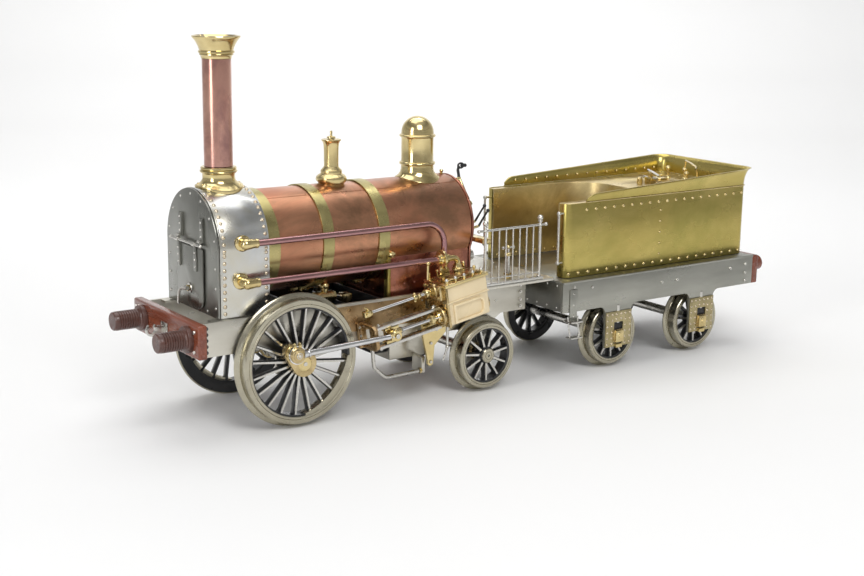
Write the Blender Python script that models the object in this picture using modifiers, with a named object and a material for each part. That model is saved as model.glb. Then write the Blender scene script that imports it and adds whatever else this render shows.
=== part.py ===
"""Live steam engine: a 5 inch gauge 0-2-2 locomotive and its four-wheeled tender.

Every sub-part is its own closed solid. Stations are in millimetres from the engine datum:
x = 0 at the driving axle and growing towards the tender, y = 0 on the centre line with the
left-hand side negative, z = 0 at the top of the rail. The chimney leads, so the engine faces -X.
The part's own origin is the middle of its overall length, at the bottom of the wheel flanges.
"""
import bpy
import bmesh
from math import radians, degrees, sin, cos, pi, asin, sqrt
from mathutils import Vector, Matrix

# ---------------------------------------------------------------- driving dimensions (mm)
MM = 0.001
GAP = 0.3                    # clearance kept between neighbouring solids
FRONT_X = -132.0             # face of the front buffers
REAR_X = 627.0               # face of the tender's rear buffers
MID_X = (FRONT_X + REAR_X) / 2

FLANGE = 4.4                 # height of a wheel flange over its tread
WHEEL_FACE_Y = 74.3          # outer faces of all wheels
WHEEL_WIDTH = 14.6
DRIVER_R = 58.7
TRAILER_R = 33.7
TRAILER_X = 215.4
TENDER_R = 33.1
TENDER_AXLES_X = (384.6, 509.6)
AXLE_R = 5.0

FRAME_Y = (53.5, 56.5)       # inner and outer faces of the engine's frame plates
FRAME_TOP = 103.4
FRAME_BOTTOM = 71.7
DECK_Z = (101.3, 104.3)
DECK_X = (216.0, 300.0)
DECK_SIDE_X = 206.5          # the deck's wings reach forward beside the backhead
DECK_HALF = 74.0

BEAM_X = (-101.0, -92.0)
BEAM_HALF = 68.5
BEAM_Z = (73.5, 104.7)
BUFFER_Y = 48.0
BUFFER_Z = 89.2

BOILER_Z = 161.1
BOILER_R = 48.8
BOILER_X = (-19.0, 212.0)
BAND_X = ((-19.5, -7.2), (39.0, 50.6), (100.8, 113.1))
SMOKEBOX_X = (-72.5, -20.0)
SMOKEBOX_HALF = 51.5
SMOKEBOX_ARCH_Z = 164.5
SMOKEBOX_FOOT_Z = 104.0
CHIMNEY_X = -43.5
VALVE_X = 77.0
DOME_X = 178.0

INCLINE = radians(9.5)       # slope of the cylinders
THROW = 18.0                 # crank radius
ROD_LENGTH = 107.0           # between the connecting rod's centres
CRANK_LEFT = radians(137.0)  # crank angle at rest, from +X towards +Z
CRANK_RIGHT = radians(47.0)
CYLINDER_Y = 80.0
ROD_Y = 89.0
BLOCK_S = (155.0, 206.8)     # ends of the cylinder block along the slope
BLOCK_N = (-10.5, 33.0)      # its underside and top, square to the slope
BORE_R = 8.0
PISTON_OFFSET = 73.5         # crosshead pin to the middle of the piston

TENDER_X = (306.0, 590.0)
TENDER_SIDE_Y = (79.0, 82.0)
TENDER_DECK_TOP = 99.5
TENDER_FRAME_BOTTOM = 66.5
TANK_X = (319.0, 587.5)
TANK_HALF = 69.0
TANK_Z = (99.8, 177.8)
LEG_WIDTH = 14.0
COAL_END_X = 455.0
DRAW_PIN_X = 285.0

# ---------------------------------------------------------------- scene and materials
for old in list(bpy.data.objects):
    bpy.data.objects.remove(old, do_unlink=True)
PARTS = bpy.data.collections.new("live_steam_engine")
CUTTERS = bpy.data.collections.new("cutters")
for group in (PARTS, CUTTERS):
    bpy.context.scene.collection.children.link(group)


def material(name, colour, metallic, roughness):
    """A plain Principled BSDF in the sub-part's own finish."""
    made = bpy.data.materials.new(name)
    made.use_nodes = True
    shader = made.node_tree.nodes["Principled BSDF"]
    shader.inputs["Base Color"].default_value = (*colour, 1.0)
    shader.inputs["Metallic"].default_value = metallic
    shader.inputs["Roughness"].default_value = roughness
    return made


BRASS = material("brass", (0.72, 0.52, 0.20), 1.0, 0.25)
COPPER = material("copper", (0.62, 0.24, 0.13), 1.0, 0.3)
PIPE_COPPER = material("pipe_copper", (0.42, 0.20, 0.20), 1.0, 0.3)
STEEL = material("bright_steel", (0.55, 0.56, 0.57), 1.0, 0.28)
DARK_STEEL = material("dark_steel", (0.13, 0.13, 0.13), 1.0, 0.45)
SPOKE_BLACK = material("wheel_black", (0.03, 0.03, 0.03), 0.3, 0.5)
MAHOGANY = material("mahogany", (0.26, 0.06, 0.03), 0.0, 0.35)
LEATHER = material("buffer_leather", (0.10, 0.04, 0.03), 0.0, 0.6)
CREAM = material("cream_paint", (0.72, 0.55, 0.38), 0.0, 0.35)
IRON = material("black_iron", (0.04, 0.04, 0.04), 0.6, 0.5)


# ---------------------------------------------------------------- modelling helpers
def place(x, y, z):
    """Engine-datum millimetres to metres in the part's own frame."""
    return Vector(((x - MID_X) * MM, y * MM, (z + FLANGE) * MM))


def axle_empty(name, x, y, z):
    """An empty on a joint axis, for the pieces that turn about it."""
    empty = bpy.data.objects.new(name, None)
    empty.location = place(x, y, z)
    empty.empty_display_size = 0.01
    PARTS.objects.link(empty)
    return empty


def register(obj, origin, finish, parent=None, cutter=False):
    """Link an object whose data is in local metres, at a station in engine millimetres."""
    obj.location = place(*origin)
    if parent is not None:
        obj.parent = parent
        obj.location = place(*origin) - parent.location
    if cutter:
        CUTTERS.objects.link(obj)
        obj.hide_render = True
        obj.display_type = 'WIRE'
    else:
        PARTS.objects.link(obj)
    if finish is not None:
        obj.data.materials.append(finish)
    return obj


def solid(name, shapes, finish, origin=(0, 0, 0), parent=None, cutter=False, slope=False, smooth=True):
    """A mesh from primitive shapes given as functions that add to a bmesh in engine millimetres."""
    bm = bmesh.new()
    for shape in shapes:
        shape(bm)
    if slope:
        bm.transform(SLOPE)
    bm.transform(Matrix.Scale(MM, 4) @ Matrix.Translation(-Vector(origin)))
    mesh = bpy.data.meshes.new(name)
    bm.to_mesh(mesh)
    bm.free()
    if smooth:
        mesh.shade_smooth()
        mesh.set_sharp_from_angle(angle=radians(35))
    return register(bpy.data.objects.new(name, mesh), origin, finish, parent, cutter)


SLOPE = Matrix.Translation((0, 0, DRIVER_R)) @ Matrix.Rotation(-INCLINE, 4, 'Y')


def on_slope(s, y, n):
    """A point s along the cylinder line and n square to it, in engine millimetres."""
    return SLOPE @ Vector((s, y, n))


def block(x0, x1, y0, y1, z0, z1):
    """A box between two corners."""
    def add(bm):
        centre = Vector(((x0 + x1) / 2, (y0 + y1) / 2, (z0 + z1) / 2))
        size = Vector((abs(x1 - x0), abs(y1 - y0), abs(z1 - z0)))
        bmesh.ops.create_cube(bm, size=1.0, matrix=Matrix.Translation(centre) @ Matrix.Diagonal((*size, 1.0)))
    return add


def rod(a, b, radius, end_radius=None, sides=12):
    """A round bar or cone from a to b."""
    def add(bm):
        start, end = Vector(a), Vector(b)
        turn = (end - start).to_track_quat('Z', 'Y').to_matrix().to_4x4()
        bmesh.ops.create_cone(bm, cap_ends=True, segments=sides, radius1=radius,
                              radius2=radius if end_radius is None else end_radius,
                              depth=(end - start).length,
                              matrix=Matrix.Translation((start + end) / 2) @ turn)
    return add


def ball(centre, radius, sides=10):
    """A small sphere."""
    def add(bm):
        bmesh.ops.create_uvsphere(bm, u_segments=sides, v_segments=sides // 2 + 1, radius=radius,
                                  matrix=Matrix.Translation(centre))
    return add


AXES = {'Z': (0, 0, 0), '-Y': (pi / 2, 0, 0), '+Y': (-pi / 2, 0, 0), '-X': (0, -pi / 2, 0),
        '+X': (0, pi / 2, 0)}


def turned(name, profile, origin, finish, axis='Z', steps=24, closed=False, parent=None, cutter=False):
    """A lathe-turned piece: (radius, height) pairs run from the top down its outer side."""
    bm = bmesh.new()
    points = [bm.verts.new((r * MM, 0, h * MM)) for r, h in profile]
    for first, second in zip(points, points[1:]):
        bm.edges.new((first, second))
    if closed:
        bm.edges.new((points[-1], points[0]))
    mesh = bpy.data.meshes.new(name)
    bm.to_mesh(mesh)
    bm.free()
    obj = register(bpy.data.objects.new(name, mesh), origin, finish, parent, cutter)
    obj.rotation_euler = AXES[axis]
    screw = obj.modifiers.new("turn", 'SCREW')
    screw.angle = 2 * pi
    screw.steps = steps
    screw.render_steps = steps
    screw.use_merge_vertices = True
    screw.merge_threshold = 0.00001
    screw.use_smooth_shade = True
    return obj


PLANES = {'XZ': (pi / 2, 0, 0), 'YZ': (pi / 2, 0, pi / 2), 'XY': (0, 0, 0)}


def flat(name, outlines, thickness, origin, plane, finish, parent=None, cutter=False):
    """A plate cut to outlines, the later ones being holes; origin is the middle of its thickness."""
    curve = bpy.data.curves.new(name, 'CURVE')
    curve.dimensions = '2D'
    curve.fill_mode = 'BOTH'
    curve.extrude = thickness / 2 * MM
    for outline in outlines:
        spline = curve.splines.new('POLY')
        spline.points.add(len(outline) - 1)
        for point, (u, v) in zip(spline.points, outline):
            point.co = (u * MM, v * MM, 0, 1)
        spline.use_cyclic_u = True
    obj = register(bpy.data.objects.new(name, curve), origin, finish, parent, cutter)
    obj.rotation_euler = PLANES[plane]
    return obj


def tube(name, points, radius, finish, origin=(0, 0, 0), resolution=2):
    """A round bar or pipe along a route of engine-datum points."""
    curve = bpy.data.curves.new(name, 'CURVE')
    curve.dimensions = '3D'
    curve.bevel_depth = radius * MM
    curve.bevel_resolution = resolution
    curve.use_fill_caps = True
    spline = curve.splines.new('POLY')
    spline.points.add(len(points) - 1)
    for point, station in zip(spline.points, points):
        point.co = (*((Vector(station) - Vector(origin)) * MM), 1)
    return register(bpy.data.objects.new(name, curve), origin, finish)


def as_mesh(obj):
    """The evaluated object as a plain mesh object, so that it can be cut or joined."""
    bpy.context.view_layer.update()
    graph = bpy.context.evaluated_depsgraph_get()
    mesh = bpy.data.meshes.new_from_object(obj.evaluated_get(graph))
    bm = bmesh.new()
    bm.from_mesh(mesh)
    bmesh.ops.remove_doubles(bm, verts=bm.verts, dist=0.000005)
    bm.to_mesh(mesh)
    bm.free()
    name, world, homes = obj.name, obj.matrix_world.copy(), list(obj.users_collection)
    hidden = obj.hide_render
    bpy.data.objects.remove(obj, do_unlink=True)
    made = bpy.data.objects.new(name, mesh)
    for home in homes:
        home.objects.link(made)
    made.matrix_world = world
    made.hide_render = hidden
    made.display_type = 'WIRE' if hidden else 'TEXTURED'
    return made


def combine(obj, other, operation, crossing=False):
    """Join or cut with another object, which becomes a hidden guide."""
    if other.name in PARTS.objects:
        PARTS.objects.unlink(other)
        CUTTERS.objects.link(other)
        other.hide_render = True
        other.display_type = 'WIRE'
    change = obj.modifiers.new(operation.lower(), 'BOOLEAN')
    change.operation = operation
    change.solver = 'EXACT'
    change.object = other
    change.use_self = crossing
    return obj


def fused(name, shapes, finish, origin=(0, 0, 0), parent=None, slope=False, smooth=True):
    """Overlapping primitive shapes joined into one solid."""
    base = solid(name, shapes[:1], finish, origin, parent, slope=slope, smooth=smooth)
    rest = solid(name + "_rest", shapes[1:], None, origin, parent, cutter=True, slope=slope, smooth=smooth)
    return combine(base, rest, 'UNION', crossing=True)


def join(obj, *others):
    for other in others:
        combine(obj, other, 'UNION')
    return obj


def cut(obj, *others):
    for other in others:
        combine(obj, other, 'DIFFERENCE')
    return obj


def arc(cx, cy, radius, start, end, steps):
    """Points on an arc, angles in degrees."""
    return [(cx + radius * cos(radians(start + (end - start) * i / steps)),
             cy + radius * sin(radians(start + (end - start) * i / steps))) for i in range(steps + 1)]


def hang_on(obj, empty):
    """Parent an object that is already in its place."""
    obj.parent = empty
    obj.matrix_parent_inverse = Matrix.Translation(-empty.location)


def side_name(side):
    return "left" if side < 0 else "right"


def crank_angle(side):
    return CRANK_LEFT if side < 0 else CRANK_RIGHT


def crank_pin(side):
    """The crank pin's place at rest: x and z."""
    return THROW * cos(crank_angle(side)), DRIVER_R + THROW * sin(crank_angle(side))


def crosshead_s(side):
    """The crosshead pin's place along the slope at rest."""
    swing = crank_angle(side) - INCLINE
    return THROW * cos(swing) + sqrt(ROD_LENGTH ** 2 - (THROW * sin(swing)) ** 2)


# ---------------------------------------------------------------- frames and front end
def frame_plate(side):
    """A frame plate with a horn gap for the driving axlebox and a guard for the trailing axle."""
    horn, guard = 17.0, 13.0
    slot = AXLE_R + 1.0
    start = BEAM_X[1] + GAP
    step_x, step_z = DECK_SIDE_X - 1.5, DECK_Z[0] - GAP
    outline = [(start, FRAME_TOP), (start, FRAME_BOTTOM), (-horn - 10, FRAME_BOTTOM),
               (-horn, FRAME_BOTTOM - 9),
               (-horn, 46), (-slot, 46), (-slot, DRIVER_R), *arc(0, DRIVER_R, slot, 180, 0, 6), (slot, 46),
               (horn, 46), (horn, 56), (horn + 8, 60), (190, 60), (TRAILER_X - guard, 54),
               (TRAILER_X - guard, 22), (TRAILER_X - slot, 22), *arc(TRAILER_X, TRAILER_R, slot, 180, 0, 6),
               (TRAILER_X + slot, 22), (TRAILER_X + guard, 22), (TRAILER_X + guard, 60), (245, 70.5),
               (277, 70.5), (277, step_z), (step_x, step_z), (step_x, FRAME_TOP)]
    flat("frame_plate_" + side_name(side), [outline], FRAME_Y[1] - FRAME_Y[0],
         (0, side * sum(FRAME_Y) / 2, 0), 'XZ', STEEL)


def buffer_beam():
    solid("buffer_beam", [block(*BEAM_X, -BEAM_HALF, BEAM_HALF, *BEAM_Z)], MAHOGANY, smooth=False)


def front_buffer(side):
    """A leather-bound buffer: a wide flange, then a ribbed barrel."""
    length = BEAM_X[0] - GAP - FRONT_X
    profile = [(0, length), (8.6, length)]
    for rib in range(3):
        top = length - 4.0 - rib * 6.0
        profile += [(8.8, top), (8.0, top - 1.5), (8.8, top - 3.0)]
    profile += [(9.0, 5), (12.2, 4), (12.2, 0), (0, 0)]
    turned("buffer_" + side_name(side), profile, (BEAM_X[0] - GAP, side * BUFFER_Y, BUFFER_Z), LEATHER,
           '-X', 16)


def draw_hook():
    """A plate with an open hook, standing out of the beam's middle."""
    tip = BEAM_X[0] - GAP
    eye = tip - 13
    outline = [(tip, 92), *arc(eye, 89, 6, 30, 62, 2), *arc(eye, 89, 2.7, 62, -242, 12),
               *arc(eye, 89, 6, 118, 330, 10), (tip, 86)]
    flat("draw_hook", [outline], 3.0, (0, 0, 0), 'XZ', STEEL)


# ---------------------------------------------------------------- smokebox and boiler
def smokebox_outline(inset=0.0, foot=SMOKEBOX_FOOT_Z):
    """The smokebox's upright arch, seen along the engine."""
    radius = SMOKEBOX_HALF - inset
    return [(-radius, foot), (radius, foot), *arc(0, SMOKEBOX_ARCH_Z, radius, 0, 180, 18)]


def smokebox():
    wall = 2.0
    front, back = SMOKEBOX_X
    middle, depth = (front + 2.5 + back) / 2, back - front - 2.5
    floor_hole = smokebox_outline(wall, SMOKEBOX_FOOT_Z + wall)
    shell = as_mesh(flat("smokebox_wrapper", [smokebox_outline(), floor_hole], depth, (middle, 0, 0), 'YZ',
                         STEEL))
    mouth = turned("chimney_hole", [(0, 20), (11, 20), (11, -20), (0, -20)],
                   (CHIMNEY_X, 0, SMOKEBOX_ARCH_Z + SMOKEBOX_HALF), None, steps=14, cutter=True)
    cut(shell, mouth)
    throat = arc(0, BOILER_Z, 44, 0, 345, 23)
    rear = as_mesh(flat("smokebox_rear_plate", [smokebox_outline(0.5, SMOKEBOX_FOOT_Z + 0.5), throat], 2.0,
                        (back - 1.2, 0, 0), 'YZ', None))
    join(shell, rear)
    doorway = [(-22, 112), (22, 112), (22, 163), (-22, 163)]
    plate = as_mesh(flat("smokebox_front_plate", [smokebox_outline(), doorway], 2.2,
                         (front + 1.1, 0, 0), 'YZ', DARK_STEEL))
    straps = [block(front - 2.5, front + 1, y - 3, y + 3, 169.6, 192) for y in (-24, 19)]
    join(plate, solid("door_hinge_straps", straps, None, cutter=True, smooth=False))


DOOR_HINGE = (-77.0, 0.0, 167.0)
DOOR_X = (-75.0, -73.0)
HANDLE_AXIS = (0.0, 124.0)


def smokebox_door():
    """A flap below a hinge rod, with its two straps and the rod in one piece."""
    hinge = axle_empty("smokebox_door_hinge", *DOOR_HINGE)
    half = 25.5
    outline = [(half, 163.5), (-half, 163.5), *arc(-half + 10, 117, 10, 180, 270, 4),
               *arc(half - 10, 117, 10, 270, 360, 4)]
    bore = arc(HANDLE_AXIS[0], HANDLE_AXIS[1], 1.9, 0, 330, 11)
    panel = as_mesh(flat("smokebox_door", [outline, bore], DOOR_X[1] - DOOR_X[0],
                         (sum(DOOR_X) / 2, 0, 0), 'YZ', DARK_STEEL))
    x, _, z = DOOR_HINGE
    straps = [block(x - 1.2, DOOR_X[0] + 0.4, y - 3, y + 3, 142, z) for y in (-14, 20)]
    fittings = solid("door_straps", [rod((x, -27, z), (x, 33, z), 1.7, sides=10), *straps], None, cutter=True)
    combine(panel, fittings, 'UNION', crossing=True)
    hang_on(panel, hinge)
    y, z = HANDLE_AXIS
    fused("smokebox_door_handle", [rod((-72.7, y, z), (-79, y, z), 1.5), ball((-79, y, z), 2.4, 8),
                                   rod((-79, y, z), (-80.5, 10, 121.5), 1.4),
                                   ball((-80.5, 10, 121.5), 1.5, 6),
                                   rod((-80.5, 10, 121.5), (-81, 12, 108), 1.4)], STEEL, (DOOR_X[0], y, z))


def boiler():
    """Copper-clad barrel, its brass bands, the flue nest, the backhead and the firebox below."""
    front, back = BOILER_X
    length = back - front
    wall = 2.5
    turned("boiler_barrel",
           [(BOILER_R, length), (BOILER_R, 0), (BOILER_R - wall, 0), (BOILER_R - wall, length)],
           (front, 0, BOILER_Z), COPPER, '+X', 32, closed=True)
    for name, (start, end) in zip(("front", "middle", "rear"), BAND_X):
        outer, inner, width = BOILER_R + 1.4, BOILER_R + GAP, end - start
        turned("boiler_band_" + name, [(outer, width), (outer, 0), (inner, 0), (inner, width)],
               (start, 0, BOILER_Z), BRASS, '+X', 32, closed=True)
    plate_r = BOILER_R - wall - GAP
    places = [(0, 0)] + [(22 * cos(radians(a)), 22 * sin(radians(a))) for a in range(30, 390, 60)]
    flues = [rod((front + 2, y, BOILER_Z + z), (150, y, BOILER_Z + z), 5, sides=8) for y, z in places]
    fused("flue_tube_nest", [rod((front + 1, 0, BOILER_Z), (front + 3.5, 0, BOILER_Z), plate_r, sides=28),
                             *flues], COPPER)


def backhead():
    """The boiler's rear plate with its regulator gland, water gauge and fire hole."""
    front = BOILER_X[1] + GAP
    spread = degrees(asin(44 / BOILER_R))
    outline = [*arc(0, BOILER_Z, BOILER_R - 0.2, spread - 90, 270 - spread, 28), (-44, 62), (44, 62)]
    plate = as_mesh(flat("backhead", [outline], 2.4, (front + 1.2, 0, 0), 'YZ', COPPER))
    face = front + 2
    fittings = [rod((face, -8, 194), (face + 7, -8, 194), 4.5, sides=10),
                rod((face, 22, 182), (face + 8, 22, 182), 2.2, sides=8),
                rod((face, 22, 150), (face + 8, 22, 150), 2.2, sides=8),
                rod((face + 7, 22, 147), (face + 7, 22, 186), 2.6, sides=8),
                rod((face, 0, 128), (face + 3, 0, 128), 13, sides=16)]
    combine(plate, solid("backhead_fittings", fittings, None, cutter=True), 'UNION', crossing=True)
    lever = (face + 7.4, -8, 194)
    fused("regulator_lever", [rod((lever[0], -8, 194), (lever[0] + 3, -8, 194), 3.4),
                              block(lever[0] + 0.6, lever[0] + 2.8, -9.8, -6.2, 194, 219),
                              rod((lever[0], -8, 218), (lever[0] + 10, -8, 218), 1.6, sides=8)], IRON, lever)


FIREBOX_X = (116.0, 211.5)
ASHPAN_X = (116.0, 158.0)


def firebox():
    """A copper wrapper saddled under the barrel, open below, with a steel ashpan."""
    wall = 3.0
    shell = solid("firebox_wrapper", [block(*FIREBOX_X, -44, 44, 62, 145)], COPPER, smooth=False)
    hollow = solid("fire_space",
                   [block(FIREBOX_X[0] + wall, FIREBOX_X[1] - wall, -44 + wall, 44 - wall, 55, 150)],
                   None, cutter=True)
    seat = turned("barrel_seat", [(0, 130), (BOILER_R + GAP, 130), (BOILER_R + GAP, -10), (0, -10)],
                  (100, 0, BOILER_Z), None, '+X', 40, cutter=True)
    cut(shell, hollow, seat)
    pan = solid("ashpan", [block(*ASHPAN_X, -45, 45, 36.5, 59.5)], STEEL, smooth=False)
    cut(pan, solid("ash_space", [block(ASHPAN_X[0] + 1.5, ASHPAN_X[1] - 1.5, -43.5, 43.5, 38, 65)], None,
                   cutter=True))


def chimney():
    """Riveted base, copper tube and flared cap; the base is saddled on the smokebox."""
    top = SMOKEBOX_ARCH_Z + SMOKEBOX_HALF
    base = turned("chimney_base", [(13.5, 18.5), (16.0, 17.5), (17.2, 14.5), (15.2, 11), (15.4, 6), (21.9, 2.2),
                                   (21.9, -5), (10.5, -5), (10.5, 18.5)], (CHIMNEY_X, 0, top), BRASS,
                  steps=20, closed=True)
    seat = turned("smokebox_seat", [(0, 40), (SMOKEBOX_HALF + GAP, 40), (SMOKEBOX_HALF + GAP, -40), (0, -40)],
                  (CHIMNEY_X, 0, SMOKEBOX_ARCH_Z), None, '+X', 60, cutter=True)
    cut(base, seat)
    low, high = top + 18.8, 331.5
    turned("chimney_tube", [(13.2, high), (13.2, low), (10.5, low), (10.5, high)], (CHIMNEY_X, 0, 0), COPPER,
           steps=24, closed=True)
    turned("chimney_cap", [(19.0, 352.3), (22.0, 350.8), (21.6, 348.2), (17.2, 345.0), (14.6, 341.5),
                           (14.4, 339.5), (16.5, 337.7), (14.4, 335.6), (13.8, 331.8), (10.5, 331.8),
                           (10.5, 342), (15, 349)],
           (CHIMNEY_X, 0, 0), BRASS, steps=20, closed=True)


def boiler_mountings():
    """Safety valve with its lifting spindle, and the steam dome, saddled on the barrel."""
    top = BOILER_Z + BOILER_R
    column = turned("safety_valve_column", [(3.2, 42.5), (9.6, 41.9), (7.6, 38), (7.2, 17), (7.6, 13.6),
                                            (10.5, 12.2), (10.5, 10), (11.5, 8.2), (15.2, 3), (15.2, -4),
                                            (3.2, -4)],
                    (VALVE_X, 0, top), BRASS, steps=16, closed=True)
    turned("safety_valve_spindle", [(0, 50.5), (1.6, 50), (2.0, 48.5), (1.2, 47.5), (1.2, 45.3), (4.2, 44.8),
                                    (4.2, 43), (2.4, 42.7), (2.4, 10), (0, 10)], (VALVE_X, 0, top), BRASS,
                                    steps=12)
    dome = turned("steam_dome", [(0, 60), (4.2, 59), (10, 56), (14.2, 51.4), (16.4, 44.5), (16.4, 42),
                                 (18.4, 40), (16.4, 38), (16.4, 15), (18.2, 12.6), (16.6, 10.2), (17.6, 6),
                                 (22.6, -1), (22.6, -7),
                                 (0, -7)], (DOME_X, 0, top), BRASS, steps=20)
    seats = turned("mounting_seat", [(0, 160), (BOILER_R + GAP, 160), (BOILER_R + GAP, -40), (0, -40)],
                   (60, 0, BOILER_Z), None, '+X', 60, cutter=True)
    cut(column, seats)
    cut(dome, seats)


# ---------------------------------------------------------------- cylinders and motion
VALVE_N = 25.3               # valve rod above the cylinder line
VALVE_Y = 76.0
BAR_S = (79.0, 152.0)


def cylinder_block(side):
    """The cylinder with its valve chest above: bore, valve-rod hole and gland in one casting."""
    y_in, y_out = side * 57.0, side * 94.0
    name = side_name(side)
    casting = solid("cylinder_block_" + name, [block(*BLOCK_S, y_in, y_out, *BLOCK_N)], CREAM,
                    on_slope(*[(BLOCK_S[0] + BLOCK_S[1]) / 2, side * CYLINDER_Y, 0]), slope=True,
                    smooth=False)
    gland = solid("valve_gland", [rod((145, side * VALVE_Y, VALVE_N), (160, side * VALVE_Y, VALVE_N), 4.6)],
                  None, cutter=True, slope=True)
    bore = solid("cylinder_bore", [rod((150, side * CYLINDER_Y, 0), (203.8, side * CYLINDER_Y, 0), BORE_R,
                                       sides=24)],
                 None, cutter=True, slope=True)
    hole = solid("valve_hole", [rod((140, side * VALVE_Y, VALVE_N), (185, side * VALVE_Y, VALVE_N), 2.2)],
                 None, cutter=True, slope=True)
    cut(join(casting, gland), bore, hole)


def guide_bars(side):
    """Front cylinder cover, piston gland, two guide bars and the bracket that ties them to the frame."""
    y = side * CYLINDER_Y
    shapes = [rod((151.4, y, 0), (154.7, y, 0), 11.2, sides=20), rod((142, y, 0), (152, y, 0), 5.2),
              block(*BAR_S, y - 3, y + 3, 8.0, 10.8), block(*BAR_S, y - 3, y + 3, -10.8, -8.0),
              block(75, 79.4, side * 57.0, side * 84.5, -12.5, 12.5)]
    bars = fused("guide_bars_" + side_name(side), shapes, STEEL, on_slope(115, y, 0), slope=True,
                 smooth=False)
    cut(bars, solid("gland_bore", [rod((138, y, 0), (158, y, 0), 2.5)], None, cutter=True, slope=True))


def crosshead(side):
    """The sliding block between the bars, with its stub pin, and the piston on its rod."""
    s, y = crosshead_s(side), side * CYLINDER_Y
    name = side_name(side)
    origin = on_slope(s, y, 0)
    fused("crosshead_" + name, [block(s - 8, s + 8, y - side * 4.5, y + side * 4, -7.6, 7.6),
                                rod((s, y, 0), (s, side * 85.6, 0), 3.2)], BRASS, origin, slope=True)
    head = s + PISTON_OFFSET
    fused("piston_" + name, [rod((s + 8.3, y, 0), (head, y, 0), 2.0),
                             rod((head - 3.5, y, 0), (head + 3.5, y, 0), BORE_R - 0.4, sides=24)], STEEL,
          origin, slope=True)


def connecting_rod(side):
    """Polished rod from the crank pin to the crosshead pin, whose pivot is left open."""
    px, pz = crank_pin(side)
    end = on_slope(crosshead_s(side), 0, 0)
    y = side * ROD_Y
    pin, small = Vector((px, y, pz)), Vector((end.x, y, end.z))
    along = (small - pin).normalized()
    big_end = turned("connecting_rod_" + side_name(side), [(7.4, 3), (7.4, -3), (3.4, -3), (3.4, 3)],
                     tuple(pin),
                     STEEL, '+Y', 20, closed=True)
    shank = [rod(pin + along * 5.5, small - along * 3, 2.9, 2.3, sides=12),
             rod(small - Vector((0, 2.9, 0)), small + Vector((0, 2.9, 0)), 5.0, sides=14)]
    combine(big_end, solid("rod_shank", shank, None, tuple(pin), cutter=True), 'UNION', crossing=True)


def valve_rod(side):
    """A slim rod working the slide valve, with its joint at the front."""
    y = side * VALVE_Y
    fused("valve_rod_" + side_name(side), [rod((78, y, VALVE_N), (178, y, VALVE_N), 1.5),
                                           block(70, 79, y - 2.6, y + 2.6, VALVE_N - 3, VALVE_N + 3),
                                           rod((128, y, VALVE_N), (136, y, VALVE_N), 2.8)], STEEL,
          on_slope(130, y, VALVE_N), slope=True)


# ---------------------------------------------------------------- wheels
def wheel(name, radius, side, station, spokes, hub, rim, steps, spoke=2.6, weight_at=None, cutter=False,
          parent=None):
    """A spoked wheel whose origin is on its axle at its outer face."""
    x, z = station
    profile = [(0, 0), (hub, 0), (hub, -3.5), (radius - rim, -3.5), (radius - rim, 0), (radius, 0),
               (radius, -10.8),
               (radius + FLANGE, -12.2), (radius + FLANGE, -WHEEL_WIDTH), (0, -WHEEL_WIDTH)]
    disc = turned(name, profile, (x, side * WHEEL_FACE_Y, z), SPOKE_BLACK, '+Y' if side > 0 else '-Y', steps,
                  parent=parent, cutter=cutter)
    outlines = []
    for index in range(spokes):
        start, end = 360 / spokes * index, 360 / spokes * (index + 1)
        inner, outer = hub + 0.8, radius - rim - 0.3
        if weight_at is not None and abs((start + end) / 2 - weight_at) < 46:
            outer *= 0.74
        lean_in, lean_out = degrees(spoke * 0.46 / inner), degrees(spoke / 2 / outer)
        outlines.append([*arc(0, 0, inner, start + lean_in, end - lean_in, 1),
                         *arc(0, 0, outer, end - lean_out, start + lean_out, 1)])
    windows = as_mesh(flat(name + "_windows", outlines, 24, (x, side * (WHEEL_FACE_Y - 7), z), 'XZ', None,
                           cutter=True))
    return cut(disc, windows)


def driving_wheelset():
    centre = axle_empty("driving_axle_line", 0, 0, DRIVER_R)
    eccentrics = [rod((4, y - 3, DRIVER_R), (4, y + 3, DRIVER_R), 11, sides=16) for y in (-12, 12)]
    fused("driving_axle", [rod((0, -59.4, DRIVER_R), (0, 59.4, DRIVER_R), AXLE_R, sides=16), *eccentrics],
          STEEL,
          (0, 0, DRIVER_R), centre)
    for side in (-1, 1):
        angle = degrees(crank_angle(side))
        driver = wheel("driving_wheel_" + side_name(side), DRIVER_R, side, (0, DRIVER_R), 20, 10.5, 7.0, 32,
                       weight_at=(angle + 180) % 360, parent=centre)
        px, pz = crank_pin(side)
        tangent = degrees(asin((12.5 - 8.0) / THROW))
        web = [*arc(0, DRIVER_R, 12.5, angle + 90 - tangent, angle + 270 + tangent, 10),
               *arc(px, pz, 8.0, angle - 90 + tangent, angle + 90 - tangent, 7)]
        crank = as_mesh(flat("crank_web", [web], 6.0, (0, side * (WHEEL_FACE_Y + 2.5), 0), 'XZ', None,
                             cutter=True))
        pin = solid("crank_pin", [rod((px, side * 76, pz), (px, side * 93.5, pz), 3.0)], None, cutter=True)
        join(driver, crank, pin)


def carrying_wheelset(name, radius, x, journal):
    """Two spoked wheels on one axle, as a single solid."""
    z = radius
    reach = journal if journal > WHEEL_FACE_Y else WHEEL_FACE_Y - 2
    shapes = [rod((x, -60, z), (x, 60, z), AXLE_R, sides=14),
              rod((x, -reach, z), (x, reach, z), 4.0, sides=14)]
    axle = fused(name, shapes, STEEL, (x, 0, z))
    for side in (-1, 1):
        join(axle, wheel(f"{name}_{side_name(side)}", radius, side, (x, z), 11, 7.5, 5.6, 20, spoke=2.8,
                         cutter=True))


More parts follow.
